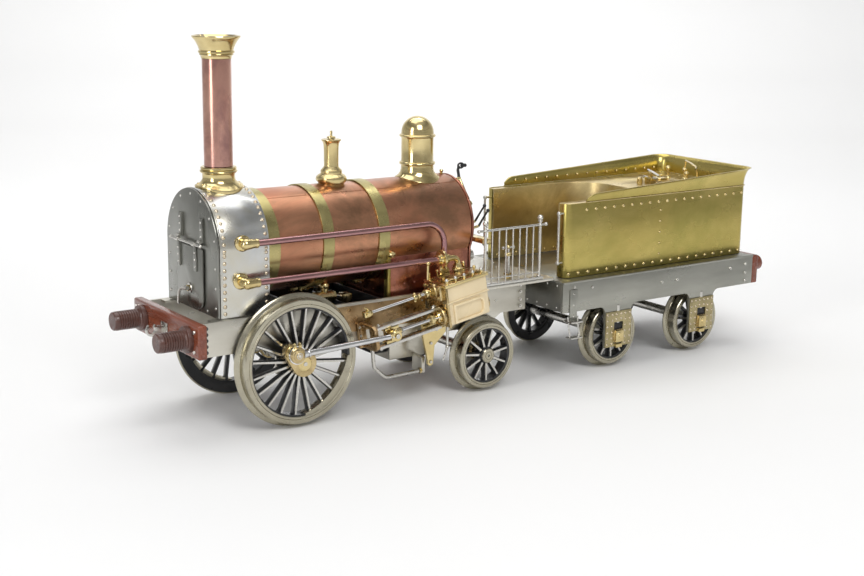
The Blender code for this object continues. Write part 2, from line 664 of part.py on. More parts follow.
# ---------------------------------------------------------------- pipes, footplate and controls
def bend(corner, before, after, radius, steps=5):
    """A rounded corner in a pipe's route: unit directions in and out."""
    before, after = Vector(before), Vector(after)
    start, end = Vector(corner) - before * radius, Vector(corner) + after * radius
    centre = start + after * radius
    return [centre - after * radius * cos(pi / 2 * i / steps) + before * radius * sin(pi / 2 * i / steps)
            for i in range(steps + 1)]


def pipes(side):
    """Upper steam pipe, which turns down at the rear, and the lower pipe, both from the smokebox side."""
    out, back, down = (0, side, 0), (1, 0, 0), (0, 0, -1)
    y_wall = side * (SMOKEBOX_HALF + GAP)
    upper_y, lower_y = side * 58.0, side * 64.5
    name = side_name(side)
    upper = [(-47.3, y_wall, 171), *bend((-47.3, upper_y, 171), out, back, 4, 3),
             *bend((171, upper_y, 171), back, down, 20, 7), (171, upper_y, 122.4)]
    pipe = as_mesh(tube("steam_pipe_" + name, upper, 3.0, PIPE_COPPER))
    collars = [rod((-47.3, y_wall, 171), (-47.3, y_wall + side * 2.4, 171), 7.4, sides=16),
               rod((171, upper_y, 122.3), (171, upper_y, 126), 5.6)]
    join(pipe, solid("steam_pipe_collars", collars, None, cutter=True))
    lower = [(-49.6, y_wall, 136.5), *bend((-49.6, lower_y, 136.5), out, back, 6, 4),
             *bend((183, lower_y, 136.5), back, down, 6, 4), (183, lower_y, 124.3)]
    pipe = as_mesh(tube("exhaust_pipe_" + name, lower, 3.0, PIPE_COPPER))
    collars = [rod((-49.6, y_wall, 136.5), (-49.6, y_wall + side * 2.4, 136.5), 7.4, sides=16),
               rod((158, lower_y, 136.5), (161, lower_y, 136.5), 8.0, sides=16),
               rod((183, lower_y, 124.2), (183, lower_y, 128), 5.6)]
    join(pipe, solid("exhaust_pipe_collars", collars, None, cutter=True))


BRAKE_AT = (258.0, -50.0)


def footplate():
    """The driver's deck with the brake column, its drag beam, railings and controls."""
    notch = 50.0
    outline = [(DECK_X[1], -DECK_HALF), (DECK_X[1], DECK_HALF), (DECK_SIDE_X, DECK_HALF),
               (DECK_SIDE_X, notch),
               (DECK_X[0], notch), (DECK_X[0], -notch), (DECK_SIDE_X, -notch), (DECK_SIDE_X, -DECK_HALF)]
    deck = as_mesh(flat("footplate_deck", [outline], DECK_Z[1] - DECK_Z[0], (0, 0, sum(DECK_Z) / 2), 'XY',
                        STEEL))
    x, y = BRAKE_AT
    post = solid("brake_column", [rod((x, y, DECK_Z[0] + 1), (x, y, 131), 2.6)], None, cutter=True)
    join(deck, post)
    fused("brake_handle", [rod((x, y, 131.3), (x, y, 137), 1.3),
                           rod((x - 7, y, 136), (x + 7, y, 136), 1.1, sides=8)],
          STEEL, (x, y, 131.3))
    fused("drag_beam", [block(272, 277, -53.1, 53.1, 72, 100.8), block(276, DRAW_PIN_X + 5, -9, 9, 76, 80),
                        rod((DRAW_PIN_X, 0, 78), (DRAW_PIN_X, 0, 92), 2.5)], STEEL)
    lever = (236.0, 34.0, 108.0)
    fused("reversing_lever", [rod((236, 31, 108), (236, 37, 108), 3.2),
                              block(234.6, 237.4, 32.6, 35.4, 108, 168),
                              rod((236, 34, 166), (236, 34, 178), 1.8)], IRON, lever)
    stand = solid("reversing_stand", [block(230, 242, 38, 41, DECK_Z[0] + 1, 113)], None, cutter=True,
                  smooth=False)
    join(deck, stand)


def railing(side):
    """Base angle, two ball-topped posts, a top rail and seven balusters."""
    y = side * 72.2
    first, last, rail_z = 211.0, 281.0, 161.0
    shapes = [block(207, 286, side * 70.4, side * 74, DECK_Z[1] + GAP, 107.6),
              rod((203, y, rail_z), (288.5, y, rail_z), 1.3, sides=6)]
    for x in (first, last):
        shapes += [rod((x, y, 106), (x, y, 166.5), 1.5, sides=6), ball((x, y, 168.3), 3.0, 6)]
    step = (last - first) / 8
    shapes += [rod((first + step * i, y, 106), (first + step * i, y, rail_z), 0.9, sides=4)
               for i in range(1, 8)]
    fused("railing_" + side_name(side), shapes, STEEL)


# ---------------------------------------------------------------- tender
def tank_path(inset):
    """The tank's outer wall in plan, from one leg's front round the back to the other's."""
    x0, x1 = TANK_X
    corner, mouth = 9.0, TANK_HALF - LEG_WIDTH + 2
    radius = corner - inset
    wide = TANK_HALF - corner
    return [(x0 + inset, -mouth), *arc(x0 + corner, -wide, radius, 180, 270, 4),
            *arc(x1 - corner, -wide, radius, 270, 360, 4), *arc(x1 - corner, wide, radius, 0, 90, 4),
            *arc(x0 + corner, wide, radius, 90, 180, 4), (x0 + inset, mouth)]


def coal_path(offset):
    """The coal space's wall in plan: a horseshoe open to the front."""
    half, corner = TANK_HALF - LEG_WIDTH, 42.0
    wide = half - corner
    end = COAL_END_X - corner
    return [(TANK_X[0] + 0.5, -half - offset), *arc(end, -wide, corner + offset, 270, 360, 7),
            *arc(end, wide, corner + offset, 0, 90, 7), (TANK_X[0] + 0.5, half + offset)]


def tender_tank():
    """Brass water tank in four sheets: outer wrapper, coal-space lining, top plate and flared coping."""
    low, high = TANK_Z
    wall = 1.6
    middle, height = (low + high) / 2, high - low
    flat("tank_wrapper", [tank_path(0) + tank_path(wall)[::-1]], height, (0, 0, middle), 'XY', BRASS)
    flat("coal_space_lining", [coal_path(0) + coal_path(wall)[::-1]], height, (0, 0, middle), 'XY', BRASS)
    top = as_mesh(flat("tank_top_plate", [tank_path(wall + GAP) + coal_path(wall + GAP)[::-1]], 1.6,
                       (0, 0, high - 1.4), 'XY', BRASS))
    filler = solid("filler_hole", [rod((536, 22, high - 5), (536, 22, high + 5), 9, sides=16)], None,
                   cutter=True)
    cut(top, filler)
    fused("filler_lid", [rod((536, 22, high + 0.3), (536, 22, high + 2.3), 11, sides=18),
                         rod((524, 17, high + 2), (524, 27, high + 2), 1.5, sides=8),
                         block(524, 530, 20, 24, high + 0.6, high + 2.6)], BRASS, (524, 22, high + 2))
    pump = [block(500, 509, -3, 7, high - 1.5, high + 8),
            rod((504.5, -9, high + 6), (504.5, 13, high + 6), 1.5, sides=8)]
    join(top, solid("hand_pump_stand", pump[:1], None, cutter=True),
         solid("hand_pump_arm", pump[1:], None, cutter=True))
    coping()


def coping():
    """The flared rim: low where it starts behind the legs, tall and wide across the back."""
    x0, x1 = TANK_X[0] + 26, TANK_X[1]
    corner = 9.0
    wide = TANK_HALF - corner
    stations = (0, 2, 5, 10, 60, 120, 180, 230)
    base = [(x0 + step, -TANK_HALF, 0.0, -1.0) for step in stations]
    path = list(base)
    for centre_y, start in ((-wide, 270), (wide, 0)):
        for i in range(5):
            angle = radians(start + 22.5 * i)
            path.append((x1 - corner + corner * cos(angle), centre_y + corner * sin(angle), cos(angle),
                         sin(angle)))
    path += [(x, -y, 0.0, 1.0) for x, y, _, _ in reversed(base)]
    bm = bmesh.new()
    rows = []
    for x, y, nx, ny in path:
        along = min(1.0, max(0.0, (x - x0) / (x1 - x0)))
        rise = min(1.0, (along * (x1 - x0) + 1.5) / 11) ** 0.5
        height, lean = (8.5 + 11.7 * along) * rise, (3.5 + 5.5 * along) * rise
        row = []
        for step in range(5):
            swing = radians(84 * step / 4)
            out, up = lean * (1 - cos(swing)), height * sin(swing) / sin(radians(84))
            row.append(bm.verts.new(((x + nx * out) * MM, (y + ny * out) * MM, up * MM)))
        rows.append(row)
    for first, second in zip(rows, rows[1:]):
        for i in range(4):
            bm.faces.new((first[i], second[i], second[i + 1], first[i + 1]))
    bm.normal_update()
    mesh = bpy.data.meshes.new("tank_coping")
    bm.to_mesh(mesh)
    bm.free()
    mesh.shade_smooth()
    rim = register(bpy.data.objects.new("tank_coping", mesh), (0, 0, TANK_Z[1] + GAP), BRASS)
    sheet = rim.modifiers.new("sheet", 'SOLIDIFY')
    sheet.thickness = 1.2 * MM
    sheet.offset = -1.0


def tender_side(side):
    """A frame side that dips into a guard at each axle, seen square on."""
    low, half = TENDER_FRAME_BOTTOM, 18.5
    points = [(TENDER_X[0], TENDER_DECK_TOP), (TENDER_X[0], low)]
    for x, before, after in zip(TENDER_AXLES_X, (low, low + 0.5), (low + 0.5, low)):
        points += [*arc(x - half - 8, before - 8, 8, 90, 0, 3), (x - half, 21), (x + half, 21),
                   *arc(x + half + 8, after - 8, 8, 180, 90, 3)]
    points += [(TENDER_X[1], low), (TENDER_X[1], TENDER_DECK_TOP)]
    y = side * sum(TENDER_SIDE_Y) / 2
    return as_mesh(flat("tender_side", [points], TENDER_SIDE_Y[1] - TENDER_SIDE_Y[0], (0, y, 0), 'XZ', STEEL))


def tender_chassis():
    """Platform, front plate, drawbar and the two sides with their axleboxes, riveted up as one."""
    x0, x1 = TENDER_X
    inner = TENDER_SIDE_Y[0]
    chassis = solid("tender_chassis", [block(x0 + 1, x1 - 0.5, -inner - 1, inner + 1, 96.7, 99.2)], STEEL,
                    smooth=False)
    front = solid("tender_front_plate", [block(x0 + 0.4, x0 + 3.2, -inner - 1.4, inner + 1.4, 67, 98)], None,
                  cutter=True, smooth=False)
    drawbar = as_mesh(flat("drawbar", [[(x0 + 2, -5), (x0 + 2, 5), *arc(DRAW_PIN_X, 0, 7, 60, 300, 8)],
                                       arc(DRAW_PIN_X, 0, 3.2, 0, 330, 11)], 4, (0, 0, 86), 'XY', None,
                                       cutter=True))
    join(chassis, front, drawbar)
    for side in (-1, 1):
        join(chassis, tender_side(side))
        boxes = [block(x - 5.6, x + 5.6, side * 78, side * 87.6, TENDER_R - 7, TENDER_R + 6.5)
                 for x in TENDER_AXLES_X]
        journals = [rod((x, side * 75, TENDER_R), (x, side * 85.6, TENDER_R), 4.5, sides=14)
                    for x in TENDER_AXLES_X]
        join(chassis, solid("axleboxes", boxes, None, cutter=True, smooth=False))
        cut(chassis, solid("journals", journals, None, cutter=True))


def tender_rear_beam():
    """Mahogany beam with two turned buffers."""
    x0, x1 = TENDER_X[1] + GAP, 599.5
    fused("tender_rear_beam", [block(x0, x1, -82, 82, 66, 98.5),
                               *[rod((x1 - 1, y, 82.5), (REAR_X, y, 82.5), 9.6, 8.6, sides=18)
                                 for y in (-56, 56)]],
          MAHOGANY)


# ---------------------------------------------------------------- assembly
def build():
    buffer_beam()
    draw_hook()
    smokebox()
    smokebox_door()
    boiler()
    backhead()
    firebox()
    chimney()
    boiler_mountings()
    driving_wheelset()
    carrying_wheelset("trailing_wheelset", TRAILER_R, TRAILER_X, 0)
    footplate()
    for side in (-1, 1):
        frame_plate(side)
        front_buffer(side)
        cylinder_block(side)
        guide_bars(side)
        crosshead(side)
        connecting_rod(side)
        valve_rod(side)
        pipes(side)
        railing(side)
    tender_chassis()
    tender_rear_beam()
    tender_tank()
    for name, x in zip(("front", "rear"), TENDER_AXLES_X):
        carrying_wheelset("tender_wheelset_" + name, TENDER_R, x, 85.2)


build()
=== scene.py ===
"""Visual model of the live steam engine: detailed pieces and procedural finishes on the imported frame.

Stations are in engine millimetres: x = 0 at the driving axle, y = 0 on the centre line (left side
negative), z = 0 at the top of the rail. place() turns them into the row frame's metres.
"""
import bpy
import bmesh
from itertools import product
from math import radians, degrees, sin, cos, tan, pi, asin, sqrt, copysign
from mathutils import Vector, Matrix


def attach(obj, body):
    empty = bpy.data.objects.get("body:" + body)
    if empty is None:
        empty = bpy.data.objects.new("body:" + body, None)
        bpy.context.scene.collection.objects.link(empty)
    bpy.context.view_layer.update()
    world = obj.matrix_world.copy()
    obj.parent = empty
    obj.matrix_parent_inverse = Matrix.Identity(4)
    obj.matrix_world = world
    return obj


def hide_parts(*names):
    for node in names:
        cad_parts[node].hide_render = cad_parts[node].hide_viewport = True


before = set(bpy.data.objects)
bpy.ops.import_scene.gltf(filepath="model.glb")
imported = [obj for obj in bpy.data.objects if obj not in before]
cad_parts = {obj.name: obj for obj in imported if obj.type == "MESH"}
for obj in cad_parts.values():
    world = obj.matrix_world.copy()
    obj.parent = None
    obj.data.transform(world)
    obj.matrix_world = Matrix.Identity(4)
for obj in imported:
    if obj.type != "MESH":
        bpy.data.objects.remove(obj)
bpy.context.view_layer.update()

MM = 0.001
MID_X = 247.5                # middle of the overall length
FLANGE = 4.4                 # wheel flange below rail top
DRIVER_R = 58.7
INCLINE = radians(9.5)
THROW = 18.0
ROD_LENGTH = 107.0
BOILER_Z = 161.1
BOILER_R = 48.8
ARCH_Z = 164.5
ARCH_R = 51.5
CHIMNEY_X = -43.5
VALVE_X = 77.0               # safety valve
DOME_X = 178.0
FACE_Y = 74.3                # outer face of every wheel
AXLE_SEAT = 4.0              # radius on which a wheel's hub is pressed
TRAILING_X, TRAILING_R = 215.4, 33.7
TENDER_AXLES, TENDER_R = (384.6, 509.6), 33.1
CYLINDER_Y = 80.0
MAIN_ROD_Y = 89.0
VALVE_ROD_Y, VALVE_ROD_N = 76.0, 25.3
PLATE_FACE = -72.4           # front of the smokebox's front plate
BACKHEAD_FACE = 214.6
REGULATOR_Y, REGULATOR_Z = -8.0, 194.0
FIRE_HOLE_Z = 128.0
BRAKE_X, BRAKE_Y = 258.0, -50.0
LEVER_X, LEVER_Y = 236.0, 34.0
TANK_FRONT, TANK_BACK, TANK_HALF = 319.0, 587.5, 69.0
TANK_TOP = 177.2
FILLER_X, FILLER_Y = 536.0, 22.0
TENDER_FACE_Y = 82.0
SIDES = (-1, 1)              # left, right
SLOPE = Matrix.Translation((0, 0, DRIVER_R)) @ Matrix.Rotation(-INCLINE, 4, 'Y')


# ---------------------------------------------------------------- materials
def add_node(made, kind, vector=None, **inputs):
    """A shader node with its inputs set by name, fed by a vector if one is given."""
    node = made.node_tree.nodes.new("ShaderNode" + kind)
    for name, value in inputs.items():
        node.inputs[name.replace("_", " ")].default_value = value
    if vector is not None:
        made.node_tree.links.new(vector, node.inputs["Vector"])
    return node


def finish(name, colour, metallic, roughness, tint=None, spread=0.5, scale=60.0, streak=(1, 1, 1),
           rough_spread=0.12, bump=0.05, bump_scale=400.0, coat=0.0, patches=None):
    """A Principled finish whose colour, roughness and surface vary by noise in the piece's own space."""
    made = bpy.data.materials.new(name)
    made.use_nodes = True
    link = made.node_tree.links.new
    shader = made.node_tree.nodes["Principled BSDF"]
    shader.inputs["Metallic"].default_value = metallic
    shader.inputs["Coat Weight"].default_value = coat
    shader.inputs["Coat Roughness"].default_value = 0.12
    space = add_node(made, "TexCoord").outputs["Object"]
    streaked = add_node(made, "Mapping", space, Scale=streak).outputs["Vector"]

    blotch = add_node(made, "TexNoise", streaked, Scale=scale, Detail=6.0, Roughness=0.6)
    ramp = add_node(made, "ValToRGB")
    dark, light = ramp.color_ramp.elements
    dark.position, light.position = 0.5 - spread / 2, 0.5 + spread / 2
    dark.color = (*(tint or [c * 0.7 for c in colour]), 1)
    light.color = (*colour, 1)
    link(blotch.outputs["Fac"], ramp.inputs["Fac"])
    coloured = ramp.outputs["Color"]
    if patches:
        stain = add_node(made, "TexNoise", space, Scale=scale * 0.8, Detail=9.0, Roughness=0.68,
                         Distortion=0.6)
        amount = add_node(made, "MapRange", From_Min=0.44, From_Max=0.62, To_Max=0.85)
        link(stain.outputs["Fac"], amount.inputs["Value"])
        blend = add_node(made, "MixRGB", Color2=(*patches, 1))
        link(amount.outputs["Result"], blend.inputs["Fac"])
        link(coloured, blend.inputs["Color1"])
        coloured = blend.outputs["Color"]
    link(coloured, shader.inputs["Base Color"])

    smudge = add_node(made, "TexNoise", streaked, Scale=scale * 1.7, Detail=4.0)
    level = add_node(made, "MapRange", From_Min=0.3, From_Max=0.7,
                     To_Min=max(0.03, roughness - rough_spread), To_Max=roughness + rough_spread)
    link(smudge.outputs["Fac"], level.inputs["Value"])
    link(level.outputs["Result"], shader.inputs["Roughness"])

    grain = add_node(made, "TexNoise", streaked, Scale=bump_scale, Detail=3.0)
    relief = add_node(made, "Bump", Strength=bump, Distance=0.0004)
    link(grain.outputs["Fac"], relief.inputs["Height"])
    link(relief.outputs["Normal"], shader.inputs["Normal"])
    return made


BRASS = finish("brass_polished", (0.80, 0.67, 0.36), 1.0, 0.18, (0.56, 0.43, 0.19), scale=45, bump=0.02)
BAND_BRASS = finish("brass_band", (0.58, 0.50, 0.23), 1.0, 0.30, (0.36, 0.31, 0.13), scale=30, bump=0.03)
GUARD_BRASS = finish("brass_guard_plates", (0.52, 0.45, 0.26), 1.0, 0.30, (0.33, 0.27, 0.14), scale=34,
                     bump=0.03)
BRONZE = finish("bronze_bracket", (0.50, 0.35, 0.19), 1.0, 0.30, (0.28, 0.18, 0.09), scale=70, bump=0.05)
TANK_BRASS = finish("brass_brushed", (0.63, 0.51, 0.18), 1.0, 0.28, (0.42, 0.33, 0.09), scale=9,
                    streak=(1, 1, 2.2), rough_spread=0.08, bump=0.05, bump_scale=260,
                    patches=(0.38, 0.33, 0.09))
LINING_BRASS = finish("brass_stained", (0.84, 0.70, 0.36), 1.0, 0.34, (0.54, 0.41, 0.19), scale=14,
                      bump=0.06, patches=(0.42, 0.31, 0.15))
GUNMETAL = finish("gunmetal", (0.70, 0.56, 0.31), 1.0, 0.25, (0.38, 0.28, 0.13), scale=110, bump=0.06)
COPPER = finish("copper_cladding", (0.72, 0.36, 0.215), 1.0, 0.31, (0.46, 0.19, 0.11), spread=0.42,
                scale=13, streak=(0.8, 1, 1), rough_spread=0.11, bump=0.03, bump_scale=120,
                patches=(0.29, 0.165, 0.095))
CHIMNEY_COPPER = finish("copper_chimney", (0.86, 0.55, 0.44), 1.0, 0.21, (0.58, 0.29, 0.23), scale=26,
                        streak=(1, 1, 0.3), bump=0.02, patches=(0.36, 0.19, 0.18))
PIPE_COPPER = finish("copper_pipe", (0.52, 0.30, 0.29), 1.0, 0.22, (0.30, 0.15, 0.16), scale=30,
                     streak=(0.4, 1, 1), bump=0.02)
FIRE_COPPER = finish("copper_heated", (0.66, 0.28, 0.17), 1.0, 0.26, (0.24, 0.10, 0.09), spread=0.35,
                     scale=26, bump=0.05)
POLISHED_STEEL = finish("steel_smokebox", (0.78, 0.79, 0.79), 1.0, 0.24, (0.50, 0.51, 0.51), scale=18,
                        rough_spread=0.08, bump=0.04, patches=(0.60, 0.57, 0.48))
STEEL = finish("steel_bright", (0.68, 0.67, 0.63), 1.0, 0.26, (0.52, 0.50, 0.46), scale=50, bump=0.03)
ROD_STEEL = finish("steel_rod", (0.78, 0.78, 0.78), 1.0, 0.12, (0.62, 0.62, 0.62), scale=60, bump=0.01)
FRAME_STEEL = finish("steel_frame", (0.72, 0.70, 0.63), 1.0, 0.33, (0.50, 0.47, 0.40), scale=20,
                     streak=(0.5, 1, 1.5), bump=0.05)
TENDER_STEEL = finish("steel_tender", (0.42, 0.415, 0.37), 1.0, 0.34, (0.28, 0.28, 0.25), scale=14,
                      streak=(0.5, 1, 2), bump=0.05)
TYRE_STEEL = finish("steel_tyre", (0.50, 0.47, 0.37), 1.0, 0.22, (0.34, 0.31, 0.235), scale=40, bump=0.02)
DARK_STEEL = finish("steel_front_plate", (0.37, 0.37, 0.34), 1.0, 0.34, (0.21, 0.21, 0.19), scale=12,
                    streak=(1, 1, 0.5), bump=0.06)
BLACK = finish("wheel_black", (0.030, 0.031, 0.033), 0.0, 0.34, (0.016, 0.016, 0.017), scale=60, bump=0.05,
               coat=0.3)
IRON = finish("black_iron", (0.055, 0.055, 0.058), 0.7, 0.42, (0.03, 0.03, 0.03), scale=60, bump=0.08)
CREAM = finish("cream_enamel", (0.80, 0.67, 0.44), 0.0, 0.30, (0.74, 0.60, 0.37), scale=14,
               rough_spread=0.05, bump=0.02, coat=0.4)
MAHOGANY = finish("mahogany_varnished", (0.24, 0.062, 0.028), 0.0, 0.24, (0.125, 0.030, 0.015), spread=0.5,
                  scale=130, streak=(1, 0.05, 1), bump=0.06, bump_scale=300, coat=0.35)
RIVET_STEEL = finish("steel_rivets", (0.76, 0.68, 0.53), 1.0, 0.24, (0.55, 0.45, 0.32), scale=90, bump=0.02)
LEATHER = finish("buffer_leather", (0.115, 0.050, 0.038), 0.0, 0.34, (0.062, 0.027, 0.021), scale=120,
                 bump=0.25, bump_scale=900, coat=0.15)


# ---------------------------------------------------------------- geometry helpers
def place(point):
    """A point in engine millimetres as the row frame's metres."""
    x, y, z = point
    return Vector(((x - MID_X) * MM, y * MM, (z + FLANGE) * MM))


class Piece:
    """Collects shapes, each with its own finish, and becomes one object riding on a body."""

    def __init__(self, name, body, slot, *stands_for):
        self.name, self.body, self.slot, self.stands_for = name, body, slot, stands_for
        self.verts, self.faces, self.marks, self.finishes = [], [], [], []
        self.space = Matrix.Identity(4)

    def add(self, verts, faces, finish_):
        if finish_ not in self.finishes:
            self.finishes.append(finish_)
        mark, start = self.finishes.index(finish_), len(self.verts)
        self.verts += [self.space @ Vector(v) for v in verts]
        self.faces += [tuple(start + i for i in face) for face in faces]
        self.marks += [mark] * len(faces)

    def lathe(self, profile, centre, finish_, axis='Z', steps=32, closed=False, start=0.0, warp=None):
        """Revolves (radius, height) pairs; a pole is a radius of 0."""
        verts, rings = [], []
        for r, h in profile:
            if r < 1e-6:
                rings.append([len(verts)])
                verts.append(Vector((0, 0, h)))
            else:
                rings.append(list(range(len(verts), len(verts) + steps)))
                verts += [Vector((r * cos(start + 2 * pi * i / steps), r * sin(start + 2 * pi * i / steps),
                                  h))
                          for i in range(steps)]
        pairs = list(zip(rings, rings[1:]))
        if closed:
            pairs.append((rings[-1], rings[0]))
        faces = []
        for a, b in pairs:
            for i in range(steps):
                j = (i + 1) % steps
                if len(a) == 1 and len(b) == 1:
                    continue
                if len(a) == 1:
                    faces.append((a[0], b[i], b[j]))
                elif len(b) == 1:
                    faces.append((a[i], b[0], a[j]))
                else:
                    faces.append((a[i], b[i], b[j], a[j]))
        turn = TURNS[axis] if isinstance(axis, str) else axis
        verts = [turn @ v for v in verts]
        if warp is not None:
            verts = [warp(v) for v in verts]
        self.add([v + Vector(centre) for v in verts], faces, finish_)

    def rod(self, a, b, radius, finish_, end=None, sides=16, edge=0.15):
        """A round bar with eased ends."""
        a, b = Vector(a), Vector(b)
        length = (b - a).length
        end = radius if end is None else end
        e1, e2 = min(edge, radius * 0.4), min(edge, end * 0.4)
        profile = [(0, 0), (radius - e1, 0), (radius, e1), (end, length - e2), (end - e2, length),
                   (0, length)]
        self.lathe(profile, a, finish_, facing(b - a), sides)

    def ball(self, centre, radius, finish_, sides=14, squash=1.0):
        rings = sides // 2
        profile = [(radius * sin(pi * i / rings),
                    radius * squash * cos(pi * i / rings)) for i in range(rings + 1)]
        profile[0], profile[-1] = (0, radius * squash), (0, -radius * squash)
        self.lathe(profile, centre, finish_, 'Z', sides)

    def block(self, x0, x1, y0, y1, z0, z1, finish_, edge=0.4, segments=2):
        """A box with rounded edges."""
        bm = bmesh.new()
        centre = Vector(((x0 + x1) / 2, (y0 + y1) / 2, (z0 + z1) / 2))
        size = (abs(x1 - x0), abs(y1 - y0), abs(z1 - z0))
        bmesh.ops.create_cube(bm, size=1.0,
                              matrix=Matrix.Translation(centre) @ Matrix.Diagonal((*size, 1.0)))
        edge = min(edge, min(size) * 0.45)
        if edge > 0:
            bmesh.ops.bevel(bm, geom=bm.edges[:], offset=edge, segments=segments, profile=0.5,
                            affect='EDGES')
        bm.verts.index_update()
        self.add([v.co.copy() for v in bm.verts], [[v.index for v in f.verts] for f in bm.faces], finish_)
        bm.free()

    def plate(self, outlines, thickness, origin, plane, finish_, edge=0.25):
        """A flat plate from outlines, the later ones being holes, with rounded edges."""
        curve = bpy.data.curves.new("outline", 'CURVE')
        curve.dimensions, curve.fill_mode = '2D', 'BOTH'
        curve.extrude = max(0.01, thickness / 2 - edge)
        curve.bevel_depth, curve.bevel_resolution = edge, 1
        curve.offset = -edge
        for outline in outlines:
            spline = curve.splines.new('POLY')
            spline.points.add(len(outline) - 1)
            for point, (u, v) in zip(spline.points, outline):
                point.co = (u, v, 0, 1)
            spline.use_cyclic_u = True
        obj = bpy.data.objects.new("outline", curve)
        bpy.context.scene.collection.objects.link(obj)
        graph = bpy.context.evaluated_depsgraph_get()
        mesh = bpy.data.meshes.new_from_object(obj.evaluated_get(graph))
        turn = Matrix.Translation(Vector(origin)) @ TURNS[plane]
        bm = bmesh.new()
        bm.from_mesh(mesh)
        bmesh.ops.remove_doubles(bm, verts=bm.verts, dist=0.002)
        bm.verts.index_update()
        self.add([turn @ v.co for v in bm.verts], [[v.index for v in f.verts] for f in bm.faces], finish_)
        bm.free()
        bpy.data.objects.remove(obj, do_unlink=True)
        bpy.data.curves.remove(curve)
        bpy.data.meshes.remove(mesh)

    def pipe(self, points, radius, finish_, sides=14, ends=True):
        """A round bar swept along a route; radius may be one number or one for each point."""
        points = [Vector(p) for p in points]
        radii = radius if hasattr(radius, "__len__") else [radius] * len(points)
        normal, verts, faces = None, [], []
        for i, point in enumerate(points):
            ahead = points[min(i + 1, len(points) - 1)] - points[max(i - 1, 0)]
            ahead.normalize()
            if normal is None:
                normal = ahead.orthogonal().normalized()
            else:
                normal = (normal - ahead * normal.dot(ahead)).normalized()
            side = ahead.cross(normal)
            verts += [point + (normal * cos(2 * pi * k / sides) + side * sin(2 * pi * k / sides)) * radii[i]
                      for k in range(sides)]
        for i in range(len(points) - 1):
            for k in range(sides):
                a, b = i * sides + k, i * sides + (k + 1) % sides
                faces.append((a, b, b + sides, a + sides))
        if ends:
            faces.append(tuple(reversed(range(sides))))
            last = (len(points) - 1) * sides
            faces.append(tuple(range(last, last + sides)))
        self.add(verts, faces, finish_)

    def rivet(self, at, out, radius, finish_, height=0.62, sides=10):
        """A domed rivet head on a surface whose outward direction is out."""
        h = radius * height
        profile = [(0, h), (radius * 0.42, h * 0.9), (radius * 0.76, h * 0.62), (radius * 0.96, h * 0.22),
                   (radius, -0.15)]
        self.lathe(profile, at, finish_, facing(Vector(out).normalized()), sides)

    def rivets(self, places, *look, **more):
        for at in places:
            self.rivet(at, *look, **more)

    def nut(self, at, out, across, height, finish_, stud=0.0):
        """A hexagon nut, with its stud's end if stud is its length."""
        out = Vector(out).normalized()
        r = across / sqrt(3)
        self.lathe([(0, height), (r * 0.86, height), (r, height * 0.82), (r, -0.1)], at, finish_,
                   facing(out), 6)
        if stud:
            top = Vector(at) + out * (height + stud)
            self.rod(Vector(at) + out * height * 0.5, top, across * 0.28, finish_, sides=8)

    def nuts(self, places, *look, **more):
        for at in places:
            self.nut(at, *look, **more)

    def done(self, angle=32):
        mesh = bpy.data.meshes.new(self.name)
        mesh.from_pydata([place(v) for v in self.verts], [], self.faces)
        for made in self.finishes:
            mesh.materials.append(made)
        mesh.polygons.foreach_set("material_index", self.marks)
        bm = bmesh.new()
        bm.from_mesh(mesh)
        bmesh.ops.recalc_face_normals(bm, faces=bm.faces)
        bm.to_mesh(mesh)
        bm.free()
        mesh.shade_smooth()
        mesh.set_sharp_from_angle(angle=radians(angle))
        obj = bpy.data.objects.new(self.name, mesh)
        bpy.context.scene.collection.objects.link(obj)
        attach(obj, self.body)
        if self.stands_for:
            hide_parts(*self.stands_for)
        return obj


TURNS = {'Z': Matrix.Identity(4), '+X': Matrix.Rotation(pi / 2, 4, 'Y'),
         '-X': Matrix.Rotation(-pi / 2, 4, 'Y'),
         '+Y': Matrix.Rotation(-pi / 2, 4, 'X'), '-Y': Matrix.Rotation(pi / 2, 4, 'X'),
         'XZ': Matrix.Rotation(pi / 2, 4, 'X'), 'XY': Matrix.Identity(4),
         'YZ': Matrix.Rotation(pi / 2, 4, 'Z') @ Matrix.Rotation(pi / 2, 4, 'X')}


def arc(cx, cy, radius, start, end, steps):
    """Points round a circle from one angle to another, in degrees."""
    return [(cx + radius * cos(radians(start + (end - start) * i / steps)),
             cy + radius * sin(radians(start + (end - start) * i / steps))) for i in range(steps + 1)]


def on_slope(s, y, n):
    """A point on the cylinder line: s along it, n square to it."""
    return SLOPE @ Vector((s, y, n))


def side_name(side):
    return "left" if side < 0 else "right"


def side_turn(side):
    """The lathe axis that points out of the engine on a side."""
    return '-Y' if side < 0 else '+Y'


def facing(direction):
    """The turn that takes +Z to a direction."""
    return Vector(direction).to_track_quat('Z', 'Y').to_matrix().to_4x4()


def grid(*spans):
    """Every point whose coordinates come from three spans, where a bare number is a span of one."""
    return product(*[span if hasattr(span, "__iter__") else (span,) for span in spans])


def crank_angle(side):
    """The crank pins are 90 degrees apart."""
    return radians(137.0) if side < 0 else radians(47.0)


def crank_pin(side):
    """A crank pin's x and z."""
    return THROW * cos(crank_angle(side)), DRIVER_R + THROW * sin(crank_angle(side))


def crosshead_s(side):
    """A crosshead's station along the cylinder line, from the crank's angle."""
    swing = crank_angle(side) - INCLINE
    return THROW * cos(swing) + sqrt(ROD_LENGTH ** 2 - (THROW * sin(swing)) ** 2)


def steps_between(first, last, pitch):
    """Even stations from first to last, about pitch apart."""
    count = max(1, round(abs(last - first) / pitch))
    return [first + (last - first) * i / count for i in range(count + 1)]


